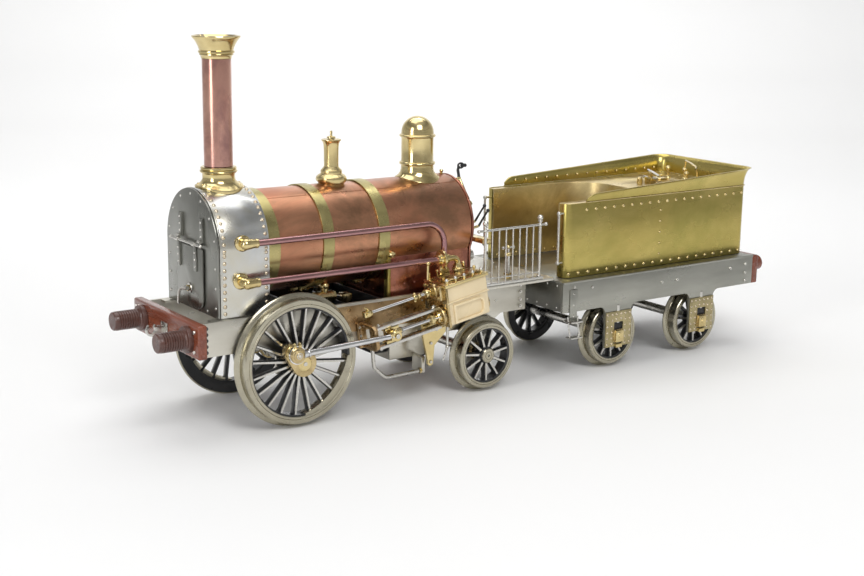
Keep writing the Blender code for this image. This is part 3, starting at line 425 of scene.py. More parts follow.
# ---------------------------------------------------------------- frames and front end
def saddle(radius, depth=10.0):
    """Drapes a turned base over a cylinder lying along X: the lower it is, the more it follows."""
    def bend(v):
        fall = radius - sqrt(max(0.0, radius ** 2 - v.y ** 2))
        return Vector((v.x, v.y, v.z - fall * max(0.0, min(1.0, 1 - v.z / depth))))
    return bend


def front_beam():
    """Buffer beam with its nuts, two ribbed buffers and the draw hook."""
    beam = Piece("buffer_beam_board", "engine", "mahogany", "buffer_beam")
    beam.block(-101, -92, -68.5, 68.5, 73.5, 104.7, MAHOGANY, edge=1.8, segments=3)
    beam.nuts(grid(-101, (-61, 61), (80, 98)), (-1, 0, 0), 3.2, 1.5, STEEL)
    beam.done()
    for side in SIDES:
        buffer = Piece("front_buffer_" + side_name(side), "engine", "buffer_leather",
                       "buffer_" + side_name(side))
        length = 30.7
        profile = [(0, length), (7.9, length), (8.75, length - 0.9), (8.85, length - 2.6)]
        for rib in range(9):
            top = length - 3.4 - rib * 2.4
            profile += [(9.1, top), (9.1, top - 1.2), (8.35, top - 1.6), (8.35, top - 2.0)]
        profile += [(9.2, 5.4), (9.8, 4.6), (11.8, 4.2), (12.2, 3.7), (12.2, 0), (0, 0)]
        buffer.lathe(profile, (-101.3, side * 48, 89.2), LEATHER, '-X', 48)
        for i in range(4):
            a = pi / 4 + i * pi / 2
            buffer.rivet((-105.4, side * 48 + 10.7 * cos(a), 89.2 + 10.7 * sin(a)), (-1, 0, 0), 0.7,
                         LEATHER)
        buffer.done()
    hook = Piece("coupling_hook", "engine", "bright_steel", "draw_hook")
    eye = (-114.3, 89.0)
    outline = [(-101.3, 92.4), (-104, 92.4), *arc(eye[0], eye[1], 5.9, 36, 60, 4),
               *arc(eye[0], eye[1], 2.8, 60, -240, 26),
               *arc(eye[0], eye[1], 5.9, 120, 324, 22), (-104, 85.6), (-101.3, 85.6)]
    hook.plate([outline], 3.0, (0, 0, 0), 'XZ', STEEL, edge=0.5)
    hook.plate([[(-7, 83.2), (7, 83.2), (7, 94.8), (-7, 94.8)]], 1.0, (-101.6, 0, 0), 'YZ', STEEL, edge=0.2)
    hook.rivets(grid(-102.1, (-5, 5), (85, 93)), (-1, 0, 0), 0.8, STEEL)
    hook.done()


def frame_plates():
    """Side frames with horn guides, their bolts, and the axles' round bearings."""
    for side in SIDES:
        name = side_name(side)
        plates = Piece("side_frame_" + name, "engine", "bright_steel", "frame_plate_" + name)
        horn, guard, slot = 17.0, 13.0, 6.0
        axle_x, axle_z = TRAILING_X, TRAILING_R
        outline = [(-91.7, 103.4), (-91.7, 71.7), (-horn - 10, 71.7), (-horn, 62.7), (-horn, 46),
                   (-slot, 46),
                   (-slot, DRIVER_R), *arc(0, DRIVER_R, slot, 180, 0, 12), (slot, 46), (horn, 46),
                   (horn, 56), (horn + 8, 60), (190, 60), (axle_x - guard, 54), (axle_x - guard, 22),
                   (axle_x - slot, 22),
                   *arc(axle_x, axle_z, slot, 180, 0, 12), (axle_x + slot, 22), (axle_x + guard, 22),
                   (axle_x + guard, 60), (245, 70.5), (277, 70.5), (277, 101), (205, 101), (205, 103.4)]
        plates.plate([outline], 3.0, (0, side * 55, 0), 'XZ', FRAME_STEEL, edge=0.3)
        face = side * 56.5
        plates.nuts(grid(-87.5, face, (76.5, 82, 87.5, 93, 98.5)), (0, side, 0), 3.2, 1.3, IRON)
        plates.nuts(grid(269.5, face, (75, 82, 90, 97)), (0, side, 0), 3.6, 1.6, STEEL, stud=0.8)
        for x, z in ((-horn + 3, 50), (horn - 3, 50), (-horn + 3, 60), (horn - 3, 64), (axle_x - 9, 30),
                     (axle_x + 9, 30), (axle_x - 9, 44), (axle_x + 9, 44), (238, 84), (140, 66), (118, 66)):
            plates.rivet((x, face, z), (0, side, 0), 1.1, STEEL)
        for x, z, r in ((0, DRIVER_R, 10), (axle_x, axle_z, 9)):
            plates.plate([arc(x, z, r, 0, 354, 59), arc(x, z, 5.4, 0, 345, 23)], 2.0, (0, side * 57.4, 0),
                         'XZ', GUNMETAL, edge=0.3)
        plates.block(-80, -20, side * 53.2, side * 44, 101.2, 103.3, FRAME_STEEL, edge=0.2)
        # A black iron sheet on each frame's inner face: painted shade for the dark space between the
        # frames.
        plates.block(26, 113, side * 52.3, side * 53.4, 61, 102.6, IRON, edge=0.2)
        plates.block(48, 150, face, side * 57.2, 75, 100.5, BRONZE, edge=0.3)
        plates.rivets(grid((52, 146), side * 57.2, (79, 96)), (0, side, 0), 0.9, STEEL)
        plates.done()


def between_frames():
    """Black iron stretchers and a tray below the boiler between the frames, as painted shade, and the feed
    pump with its drain pipes.
    """
    inside = Piece("between_frames_painted_shade", "engine", "black_iron")
    # Black iron stretchers and a tray across the space between the frames: painted shade there.
    for x in (27, 70, 110):
        inside.block(x, x + 2.4, -52.2, 52.2, 63, 98, IRON, edge=0.3)
    inside.block(27, 112, -52.2, 52.2, 61.2, 63.4, IRON, edge=0.3)
    inside.done()
    pump = Piece("feed_pump", "engine", "brass")
    for side in SIDES:
        y = side * 22
        pump.rod((44, y, 104), (64, y, 104), 5.4, GUNMETAL, sides=28)
        pump.nut((64, y, 104), (1, 0, 0), 9, 3, BRASS)
        pump.rod((56, y, 98), (56, y, 115), 3.6, BRASS, sides=20)
        pump.ball((56, y, 114.6), 4.4, BRASS, 20)
        pump.block(74, 84, y - 5, y + 5, 96, 105, GUNMETAL, edge=1.0)
        pump.rod((66, y, 104), (79, y, 101), 2.2, STEEL)
        route = [(86, side * 60, 57.5), (88, side * 60, 37), (101, side * 60, 25), (143, side * 60, 26)]
        pump.pipe(run(route, [7, 9], 8), 1.9, STEEL, 14)
        pump.nut((86, side * 60, 55), (0, 0, 1), 5.4, 3.2, BRASS)
        pump.rod((86, side * 56.6, 60.5), (86, side * 60, 60.5), 1.9, BRASS)
        pump.ball((86, side * 60, 60), 2.7, BRASS)
        pump.nut((141, side * 60, 26), (1, 0, 0), 5, 3, BRASS)
        pump.block(143, 147, side * 45, side * 62, 23.5, 40, FRAME_STEEL, edge=0.5)
    pump.done()


def arch_points(radius, first, last, pitch):
    """Stations up the smokebox, over its arch and down, each with its outward direction."""
    found = [((-radius, z), (-1, 0)) for z in steps_between(first, ARCH_Z - pitch * 0.6, pitch)]
    for a in steps_between(180, 0, degrees(pitch / radius)):
        found.append(((radius * cos(radians(a)), ARCH_Z + radius * sin(radians(a))),
                      (cos(radians(a)), sin(radians(a)))))
    found += [((radius, z), (1, 0)) for z in reversed(steps_between(last, ARCH_Z - pitch * 0.6, pitch))]
    return found


def smokebox_outline(radius, foot, steps=60):
    """The smokebox in front view: a flat foot, straight sides and a round arch."""
    return [(-radius, foot), (radius, foot), *arc(0, ARCH_Z, radius, 0, 180, steps)]


def smokebox():
    """Riveted wrapper, front plate, top-hinged door and its handle."""
    shell = Piece("smokebox_shell", "engine", "bright_steel", "smokebox_wrapper")
    outer, inner = smokebox_outline(ARCH_R, 104, 72), smokebox_outline(ARCH_R - 2, 106, 72)
    shell.plate([outer, inner], 50, (-45, 0, 0), 'YZ', POLISHED_STEEL, edge=0.25)
    throat = arc(0, BOILER_Z, 48.2, 0, 355, 71)
    shell.plate([smokebox_outline(ARCH_R - 0.4, 104.4, 72), throat], 1.4, (-21.6, 0, 0), 'YZ',
                POLISHED_STEEL, edge=0.2)
    for x, radius, metal in ((-65.6, 1.95, RIVET_STEEL), (-23.3, 1.8, RIVET_STEEL)):
        for (y, z), (ny, nz) in arch_points(ARCH_R, 108, 108, 6.35):
            if abs(y) > 17 or x > -40:
                shell.rivet((x, y, z), (0, ny, nz), radius, metal)
    shell.plate([smokebox_outline(ARCH_R + 0.55, 104.2, 72), smokebox_outline(ARCH_R - 1.0, 106, 72)], 1.6,
                (-69.2, 0, 0), 'YZ', POLISHED_STEEL, edge=0.3)
    shell.nuts(grid((-60, -45, -30), (-ARCH_R + 4, ARCH_R - 4), 106), (0, 0, 1), 3, 1.5, STEEL)
    shell.done()

    front = Piece("smokebox_front", "engine", "dark_steel", "smokebox_front_plate")
    doorway = [(-22, 112), (22, 112), (22, 163), (-22, 163)]
    front.plate([smokebox_outline(ARCH_R, 104, 72), doorway], 2.2, (-71.4, 0, 0), 'YZ', DARK_STEEL,
                edge=0.5)
    for a in (12, 38, 64, 90, 116, 142, 168):
        y, z = 46.8 * cos(radians(a)), ARCH_Z + 46.8 * sin(radians(a))
        front.rivet((PLATE_FACE, y, z), (-1, 0, 0), 1.45, STEEL)
    front.rivets(grid(PLATE_FACE, (-46.8, 46.8), (149, 131, 113)), (-1, 0, 0), 1.45, STEEL)
    front.rivets(grid(PLATE_FACE, (-30, -12, 12, 30), 107.6), (-1, 0, 0), 1.45, STEEL)
    for y in (-24, 19):
        front.block(-75, -72.3, y - 2.6, y + 2.6, 169.8, 192, DARK_STEEL, edge=0.5)
        front.rivets(grid(-74.9, y, (175, 181.5, 188)), (-1, 0, 0), 1.35, STEEL)
        front.rod((-76.3, y - 2.4, 170.6), (-76.3, y + 2.4, 170.6), 1.6, STEEL)
    front.done()

    door = Piece("smokebox_door_flap", "smokebox_door", "dark_steel", "smokebox_door")
    outline = [(25.5, 163.5), (-25.5, 163.5), *arc(-15.5, 117, 10, 180, 270, 10),
               *arc(15.5, 117, 10, 270, 360, 10)]
    door.plate([outline, arc(0, 124, 1.9, 0, 345, 23)], 2.0, (-74, 0, 0), 'YZ', DARK_STEEL, edge=0.45)
    door.rod((-77, -27, 167), (-77, 33, 167), 1.35, STEEL, sides=16)
    for y in (-27.4, 33.4):
        door.ball((-77, y, 167), 2.0, STEEL)
    for y in (-14, 20):
        door.block(-76.6, -74.8, y - 2.5, y + 2.5, 142, 165.5, DARK_STEEL, edge=0.4)
        door.rod((-77, y - 3, 167), (-77, y + 3, 167), 2.0, STEEL)
        door.rivets(grid(-76.5, y, (146, 152.5, 159)), (-1, 0, 0), 1.35, STEEL)
    door.lathe([(0, 1.0), (4.4, 1.0), (4.8, 0.6), (4.8, 0), (1.8, 0)], (-75, 0, 124), STEEL, '-X', 24)
    door.done()

    handle = Piece("door_handle", "door_handle", "bright_steel", "smokebox_door_handle")
    handle.rod((-72.7, 0, 124), (-79.5, 0, 124), 1.6, STEEL)
    handle.rod((-76.4, 0, 124), (-78, 0, 124), 2.9, BRASS)
    handle.pipe([(-79, -3.2, 124.4), (-79, 0, 124.2), (-79.2, 5, 123.4), (-79.6, 9, 122.4),
                 (-80.2, 11.6, 120), (-80.7, 12.4, 116.5), (-81, 12.6, 112), (-81, 12.7, 108.6)],
                [1.9, 2.2, 1.9, 1.5, 1.35, 1.3, 1.25, 1.35], STEEL, 14)
    handle.ball((-81, 12.7, 108.2), 1.45, STEEL)
    handle.done()


# ---------------------------------------------------------------- boiler
def boiler():
    """Cladding, straps, flue tubes, firebox casing and ashpan."""
    barrel = Piece("boiler_cladding", "engine", "copper", "boiler_barrel")
    barrel.lathe([(BOILER_R - 0.6, 0), (BOILER_R, 0.5), (BOILER_R, 228.5), (BOILER_R - 0.7, 230.4),
                  (BOILER_R - 2.5, 231),
                  (BOILER_R - 2.5, 0)], (-19, 0, BOILER_Z), COPPER, '+X', 128, closed=True)
    for a in (62, 118):
        y, z = (BOILER_R + 0.06) * cos(radians(a)), BOILER_Z + (BOILER_R + 0.06) * sin(radians(a))
        barrel.pipe([(-6, y, z), (211, y, z)], 0.22, COPPER, 6)
    barrel.done()
    for part, (x0, x1) in zip(("front", "middle", "rear"), ((-19.5, -7.2), (39, 50.6), (100.8, 113.1))):
        band = Piece("boiler_strap_" + part, "engine", "brass", "boiler_band_" + part)
        w = x1 - x0
        band.lathe([(BOILER_R + 0.2, 0), (BOILER_R + 1.1, 0), (BOILER_R + 1.35, 0.35),
                    (BOILER_R + 1.35, w - 0.35),
                    (BOILER_R + 1.1, w), (BOILER_R + 0.2, w)], (x0, 0, BOILER_Z), BAND_BRASS, '+X', 128,
                    closed=True)
        middle = (x0 + x1) / 2
        for y in (-4, 4):
            band.block(x0 + 1, x1 - 1, y - 1, y + 1, BOILER_Z - BOILER_R - 4.6, BOILER_Z - BOILER_R, BRASS,
                       edge=0.3)
        band.rod((middle, -7, BOILER_Z - BOILER_R - 3), (middle, 7, BOILER_Z - BOILER_R - 3), 0.9, STEEL)
        band.done()
    flues = Piece("flue_tubes", "engine", "copper", "flue_tube_nest")
    flues.lathe([(0, 0), (45.6, 0), (46, 0.4), (46, 2.1), (45.6, 2.5), (0, 2.5)], (-18, 0, BOILER_Z),
                FIRE_COPPER,
                '+X', 72)
    nest = [(0, 0)] + [(22 * cos(radians(a)), 22 * sin(radians(a))) for a in range(30, 390, 60)]
    for y, z in nest:
        flues.lathe([(4.2, 0), (5, 0), (5, 168), (4.2, 168), (4.2, 166), (4.2, 1)],
                    (-18.4, y, BOILER_Z + z), PIPE_COPPER, '+X', 24, closed=True)
    flues.done()
    knob = Piece("boiler_knob", "engine", "brass")
    knob.lathe([(0, 4.4), (1.6, 4.0), (2.2, 2.8), (1.6, 1.6), (1.2, 0.9), (2.4, 0.4), (2.4, -1)],
               (208, 0, BOILER_Z + BOILER_R), BRASS, steps=20)
    knob.done()

    fire = Piece("firebox_casing", "engine", "copper", "firebox_wrapper")
    fire.block(116, 211.5, -44, 44, 62, 141, FIRE_COPPER, edge=1.6, segments=3)
    for side in SIDES:
        fire.rivets(grid(steps_between(122, 206, 12), side * 44, (70, 84, 98, 112)), (0, side, 0), 1.2,
                    FIRE_COPPER)
        fire.block(113.4, 117, side * 38, side * 45, 62, 141.5, TANK_BRASS, edge=0.5)
        fire.lathe([(0, 6), (2.4, 5.4), (3.8, 3.6), (4.2, 1.4), (4.2, -3)], (117, side * 44, 143), BRASS,
                   side_turn(side), 24)
    fire.done()
    pan = Piece("ash_tray", "engine", "bright_steel", "ashpan")
    pan.block(116, 158, -45, 45, 36.5, 59.5, FRAME_STEEL, edge=0.8)
    for side in SIDES:
        pan.rivets(grid(steps_between(120, 154, 8.5), side * 45, 56), (0, side, 0), 0.9, STEEL)
    pan.block(100, 117, -40, 40, 44, 46, IRON, edge=0.3)
    pan.done()


def chimney():
    """Riveted foot saddled on the smokebox, copper stack and flared crown."""
    top = ARCH_Z + ARCH_R
    x = CHIMNEY_X
    base = Piece("chimney_foot", "engine", "brass", "chimney_base")
    base.lathe([(10.5, 18.5), (13.4, 18.5), (15.8, 18.2), (16.6, 17.2), (16.6, 16.3), (15.9, 15.6),
                (16.9, 14.9),
                (17.3, 14), (16.9, 13.1), (15.6, 12.4), (15.1, 11.4), (15.0, 8.2), (15.4, 6.2), (16.6, 4.6),
                (19, 3.2), (21.9, 2.0), (22.1, 1.4), (21.9, 0.2), (20, -1.2), (10.5, -1.2)], (x, 0, top),
                BRASS,
               steps=72, closed=True, warp=saddle(ARCH_R, 9))
    for i in range(14):
        a = 2 * pi * (i + 0.5) / 14
        y = 19.4 * sin(a)
        fall = (ARCH_R - sqrt(ARCH_R ** 2 - y ** 2)) * 0.72
        base.rivet((x + 19.4 * cos(a), y, top + 3.1 - fall), (cos(a) * 0.4, sin(a) * 0.6, 1), 1.0, BRASS,
                   sides=8)
    base.done()
    stack = Piece("chimney_stack", "engine", "copper", "chimney_tube")
    stack.lathe([(12.2, 331.5), (13.2, 331.5), (13.2, 234.8), (12.2, 234.8)], (x, 0, 0), CHIMNEY_COPPER,
                steps=72, closed=True)
    stack.done()
    cap = Piece("chimney_crown", "engine", "brass", "chimney_cap")
    cap.lathe([(20.0, 352.3), (21.7, 352.1), (22.0, 351.3), (21.7, 350.3), (20.6, 349.2), (18.9, 347.0),
               (17.3, 344.2),
               (16.1, 341.6), (15.6, 340.2), (15.4, 339.2), (16.3, 338.6), (16.5, 337.7), (16.3, 336.8),
               (15.0, 336.2), (15.3, 335.6), (15.3, 334.9), (14.4, 334.4), (13.9, 333.6), (13.8, 331.8),
               (11.4, 331.8),
               (11.4, 338), (13.0, 343), (15.6, 347.6), (18.4, 350.6)], (x, 0, 0), BRASS, steps=84,
               closed=True)
    cap.done()


def mountings():
    """Safety valve with its stem, and the steam dome."""
    top = BOILER_Z + BOILER_R
    valve = Piece("safety_valve_tower", "engine", "brass", "safety_valve_column")
    valve.lathe([(3.3, 42.5), (8.6, 42.5), (9.5, 42.2), (9.6, 41.4), (9.1, 40.6), (8.4, 39.8), (7.7, 38),
                 (7.4, 35.5),
                 (7.2, 30), (7.1, 20), (7.2, 16.2), (8.6, 14.2), (10.3, 12.6), (10.5, 11.4), (10.4, 9.8),
                 (10.9, 9.0), (13.2, 7.8), (14.9, 5.9), (15.2, 4.0), (14.6, 2.4), (13.0, 1.2), (12.6, -0.4),
                 (12.2, -1.5),
                 (3.3, -1.5)], (VALVE_X, 0, top), BRASS, steps=64, closed=True, warp=saddle(BOILER_R, 6))
    valve.done()
    spindle = Piece("safety_valve_stem", "safety_valve_spindle", "brass", "safety_valve_spindle")
    spindle.lathe([(0, 50.5), (1.0, 50.3), (1.2, 49.6), (1.2, 45.4), (2.6, 45.2), (4.1, 44.7), (4.2, 43.2),
                   (2.4, 42.9), (2.4, 12), (0, 12)], (VALVE_X, 0, top), BRASS, steps=28)
    spindle.done()
    dome = Piece("steam_dome_casing", "engine", "brass", "steam_dome")
    crown = [(16.3 * cos(radians(a)), 43.4 + 16.6 * sin(radians(a))) for a in range(88, 0, -8)]
    dome.lathe([(0, 60), *crown, (16.4, 42.2), (17.7, 41.6), (18.3, 40.8), (18.3, 40.0), (17.7, 39.3),
                (16.5, 38.8),
                (16.2, 37.6), (16.2, 16.0), (16.5, 14.8), (17.7, 14.2), (18.2, 13.4), (18.2, 12.4),
                (17.6, 11.7), (16.5, 11.2), (16.5, 7.0), (17.3, 4.4), (19.2, 2.2), (21.8, 0.9), (22.6, 0.2),
                (22.4, -0.9), (0, -1)],
               (DOME_X, 0, top), BRASS, steps=84, warp=saddle(BOILER_R, 7))
    dome.done()


def run(corners, radii, steps=8):
    """A pipe's route through corner points, each corner rounded by its radius."""
    points = [Vector(corners[0])]
    for before, corner, after, radius in zip(corners, corners[1:], corners[2:], radii):
        before, corner, after = Vector(before), Vector(corner), Vector(after)
        back, ahead = (before - corner).normalized(), (after - corner).normalized()
        angle = back.angle(ahead)
        reach = radius / tan(angle / 2)
        start, end = corner + back * reach, corner + ahead * reach
        centre = corner + (back + ahead).normalized() * radius / sin(angle / 2)
        a, b = start - centre, end - centre
        swing = a.angle(b)
        for i in range(steps + 1):
            t = i / steps
            points.append(centre + (a * sin((1 - t) * swing) + b * sin(t * swing)) / sin(swing))
    points.append(Vector(corners[-1]))
    return points


def pipes():
    """The two pipes along each side, with their flanges and elbows."""
    for side in SIDES:
        name, wall = side_name(side), side * (ARCH_R + 0.2)
        upper_y, lower_y = side * 58.0, side * 64.5
        upper = Piece("upper_pipe_" + name, "engine", "pipe_copper", "steam_pipe_" + name)
        upper.pipe(run([(-40, upper_y, 171), (171, upper_y, 171), (171, upper_y, 122.4)], [21], 14), 3.0,
                   PIPE_COPPER, 20)
        lower = Piece("lower_pipe_" + name, "engine", "pipe_copper", "exhaust_pipe_" + name)
        lower.pipe([(-42, lower_y, 136.5), (160, lower_y, 136.5)], 3.0, PIPE_COPPER, 20)
        for pipe, x, y, z in ((upper, -47.3, upper_y, 171), (lower, -49.6, lower_y, 136.5)):
            pipe.lathe([(0, 2.2), (5.4, 2.2), (6.8, 1.7), (7.5, 0.9), (7.5, 0), (0, 0)], (x, wall, z),
                       BRASS, side_turn(side), 36)
            pipe.rod((x, wall, z), (x, y, z), 4.6, BRASS, sides=24)
            pipe.ball((x, y, z), 5.2, BRASS, 24)
            pipe.lathe([(0, -1), (5.2, -0.5), (5.0, 2.5), (4.6, 5.5), (4.0, 9.0), (4.3, 9.4), (4.3, 11.4),
                        (3.9, 11.9), (3.0, 12.1)], (x, y, z), BRASS, '+X', 28)
            for i in range(6):
                a = pi * i / 3
                pipe.rivet((x + 6.2 * cos(a), wall + side * 1.6, z + 6.2 * sin(a)), (0, side, 0), 0.6,
                           BRASS, sides=6)
        upper.nut((171, upper_y, 121.8), (0, 0, 1), 10, 4.2, BRASS)
        upper.done()
        lower.lathe([(3.0, -4.5), (4.6, -4.2), (4.8, -1.0), (5.6, 0), (9.0, 0.2), (9.4, 0.8), (9.4, 2.2),
                     (9.0, 2.8), (4.6, 3.0), (4.4, 9), (3.2, 10)], (162, lower_y, 136.5), BRASS, '+X', 40)
        for i in range(6):
            a = pi * i / 3 + 0.3
            lower.nut((164.9, lower_y + 7.3 * cos(a), 136.5 + 7.3 * sin(a)), (1, 0, 0), 1.9, 1.0, BRASS,
                      stud=0.4)
        lower.pipe(run([(170, lower_y, 136.5), (183, lower_y, 136.5), (183, lower_y, 124.4)], [6], 8), 3.0,
                   BRASS, 16)
        lower.lathe([(0, 0), (5.6, 0), (5.6, 1.8), (4.2, 2.6), (3.6, 6), (3, 6)], (183, lower_y, 124.2),
                    BRASS, steps=28)
        lower.block(160.5, 165.5, lower_y - 2, lower_y + 2, 121, 130, BRASS, edge=0.6)
        lower.done()


# ---------------------------------------------------------------- cylinders and motion
def cylinder_block(side):
    """Cylinder and valve chest with cover, studs, cocks and the hanger below."""
    name = side_name(side)
    casting = Piece("cylinder_casting_" + name, "engine", "cream_paint", "cylinder_block_" + name)
    casting.space = SLOPE
    inner, outer = side * 57.3, side * 91.2
    casting.block(156.6, 206.0, inner, outer, -9.6, 29.6, CREAM, edge=1.6, segments=3)
    casting.block(155.2, 206.6, inner, side * 93.0, 13.6, 14.6, CREAM, edge=0.4)
    casting.block(155.0, 206.8, inner, side * 93.4, 29.6, 32.9, BRASS, edge=0.6)
    face = outer
    ring = [[(162.5, -8.2), (194, -8.2), *arc(194, -2.2, 6, 270, 360, 6), *arc(194, 5, 6, 0, 90, 6),
             (162.5, 11)],
            [(165.1, -5.8), (193, -5.8), *arc(193, -1.4, 4.4, 270, 360, 6), *arc(193, 4.2, 4.4, 0, 90, 6),
             (165.1, 8.6)]]
    casting.plate(ring, 3.0, (0, face + side * 0.9, 0), 'XZ', CREAM, edge=0.6)
    casting.block(155.0, 157.6, inner, side * 92.8, -10.4, 29.6, GUNMETAL, edge=0.5)
    casting.block(150.6, 155.2, side * 62, side * 88.5, 17.2, 32.0, GUNMETAL, edge=1.2)
    casting.lathe([(0, 0.9), (7.4, 0.9), (8.2, 0.3), (8.2, -2.2), (0, -2.2)],
                  (150.4, side * VALVE_ROD_Y, VALVE_ROD_N), GUNMETAL, '-X', 30)
    casting.lathe([(2.0, 9.4), (3.9, 9.2), (4.3, 8.4), (4.3, 6.9), (3.1, 6.5), (3.1, 4.2), (4.5, 3.8),
                   (4.6, 0)],
                  (151, side * VALVE_ROD_Y, VALVE_ROD_N), BRASS, '-X', 24)
    for y, n in ((65, 20.3), (65, 30), (86, 20.3), (86, 30)):
        casting.nut((150.7, side * y, n), (-1, 0, 0), 2.9, 1.5, GUNMETAL, stud=0.8)
    for y in (63.5, 92.4):
        casting.nuts(grid(155.1, side * (y - 3), (-4, 12)), (-1, 0, 0), 2.4, 1.2, GUNMETAL, stud=0.6)
    for n in (-6, 4, 20):
        for y in (68, 86):
            casting.nut((205.9, side * y, n), (1, 0, 0), 2.4, 1.2, GUNMETAL, stud=0.5)
    casting.lathe([(0, 2.6), (8.8, 2.6), (9.6, 1.8), (9.6, 0), (0, 0)], (205.8, side * CYLINDER_Y, 0),
                  GUNMETAL, '+X', 36)
    for s in (159.5, 170, 180.5, 191, 201.5):
        for y in (60.5, 89.8):
            tall = 3.6 if y > 80 else 5.0
            casting.rod((s, side * y, 32.5), (s, side * y, 32.5 + tall), 1.4, BRASS, sides=12)
            casting.ball((s, side * y, 32.8 + tall), 1.9, BRASS if y < 80 else STEEL, 12)
    casting.block(160, 203, side * 64, side * 86, 32.6, 34.4, GUNMETAL, edge=0.5)
    casting.space = Matrix.Identity(4)
    for x, y, base, height, r in ((146, 66, 126, 14, 2.0), (188.5, 84, 124, 9, 1.5)):
        casting.rod((x, side * y, base - 8), (x, side * y, base + height * 0.45), r * 0.7, BRASS, sides=12)
        casting.ball((x, side * y, base + height * 0.6), r * 1.25, BRASS, 14)
    hanger = [(138, 76), (139, 62), (144.8, 38), *arc(148.3, 35, 3.2, 180, 360, 10), (153, 52), (166, 64),
              (166, 76)]
    casting.plate([hanger, arc(148.3, 35.6, 1.0, 0, 330, 11)], 3.0, (0, side * 68, 0), 'XZ', BRASS,
                  edge=0.4)
    casting.nuts(grid(148.3, side * 69.5, (36, 55)), (0, side, 0), 2.8, 1.3, STEEL)
    casting.rod((169, side * 68, 78), (168, side * 70, 49), 1.5, STEEL, end=1.2)
    casting.ball((168, side * 70, 48.6), 2.1, STEEL)
    casting.rod((168, side * 70, 48), (163, side * 70, 35), 1.25, STEEL, end=1.0)
    casting.done()


def guide_bars(side):
    """Two bars, the bracket that holds their front and the cylinder's front cover."""
    name, y = side_name(side), side * CYLINDER_Y
    bars = Piece("motion_frame_" + name, "engine", "bright_steel", "guide_bars_" + name)
    bars.space = SLOPE
    for n0, n1 in ((7.9, 11.2), (-11.2, -7.9)):
        bars.block(79, 151.6, y - 3.8, y + 3.8, n0, n1, STEEL, edge=0.45)
        for s in (82.5, 147.5):
            outward = 1 if n0 > 0 else -1
            bars.nut((s, y, n1 if n0 > 0 else n0), (0, 0, outward), 3.2, 1.5, STEEL, stud=0.8)
    bracket = [(-12.6, 57.4), (-12.6, 80), (-9.6, 84.3), (9.6, 84.3), (12.6, 80), (12.6, 57.4), (9.4, 57.4),
               (9.4, 74.5), (-9.4, 74.5), (-9.4, 57.4)]
    bars.plate([[(side * v, u) for u, v in bracket]], 4.0, (77.2, 0, 0), 'YZ', BRONZE, edge=0.5)
    bars.block(71.5, 80.5, side * 57.3, side * 60.3, -12.6, 12.6, BRONZE, edge=0.5)
    bars.nuts(grid(73.6, side * 60.2, (-8.5, 0, 8.5)), (0, side, 0), 2.6, 1.3, STEEL)
    bars.lathe([(2.4, 0), (10.4, 0), (11.2, 0.7), (11.2, 2.9), (10.6, 3.4), (2.4, 3.4)], (151.3, y, 0),
               GUNMETAL, '+X', 44, closed=True)
    bars.lathe([(2.4, 10.4), (4.6, 10.2), (5.2, 9.4), (5.2, 7.0), (3.6, 6.5), (3.6, 4.0), (5.4, 3.4),
                (5.8, 2.4), (6.4, 0), (2.4, 0)], (151.5, y, 0), BRASS, '-X', 32, closed=True)
    for a in range(30, 390, 60):
        at = (151.4, y + 8.4 * cos(radians(a)), 8.4 * sin(radians(a)))
        bars.nut(at, (-1, 0, 0), 2.6, 1.5, GUNMETAL, stud=1.0)
    bars.rod((143, y + side * 3.2, 0.5), (150, y + side * 6.4, 1.5), 0.8, STEEL)
    bars.done()


def crosshead(side):
    """Crosshead between the bars, and the piston on its rod."""
    name, y = side_name(side), side * CYLINDER_Y
    s = crosshead_s(side)
    body = "crosshead_" + name
    block = Piece("crosshead_block_" + name, body, "brass", body)
    block.space = SLOPE
    block.block(s - 7.9, s + 7.9, y - 4.0, y + 4.0, 4.6, 7.7, BRASS, edge=0.5)
    block.block(s - 7.9, s + 7.9, y - 4.0, y + 4.0, -7.7, -4.6, BRASS, edge=0.5)
    block.block(s - 6.6, s + 6.6, y - 3.2, y + 3.2, -5.2, 5.2, GUNMETAL, edge=1.0)
    block.rod((s, y, 0), (s, side * 85.3, 0), 3.6, BRASS, sides=24)
    block.rod((s + 6, y, 0), (s + 11.5, y, 0), 4.1, BRASS, end=3.0, sides=22)
    block.nut((s + 11.2, y, 0), (1, 0, 0), 5.6, 1.8, STEEL)
    block.rod((s - 3, y, 7.6), (s - 3, y, 9.4), 0.8, BRASS)
    block.done()
    head = s + 73.5
    piston = Piece("piston_and_rod_" + name, body, "bright_steel", "piston_" + name)
    piston.space = SLOPE
    piston.rod((s + 8.3, y, 0), (head, y, 0), 2.0, ROD_STEEL, sides=24)
    piston.lathe([(0, 3.5), (7.4, 3.5), (7.6, 3.2), (7.6, 1.8), (7.0, 1.6), (7.0, 0.4), (7.6, 0.2),
                  (7.6, -0.6), (7.0, -0.8),
                  (7.0, -2.0), (7.6, -2.2), (7.6, -3.2), (7.4, -3.5), (0, -3.5)], (head, y, 0), GUNMETAL,
                  '+X', 36)
    piston.done()


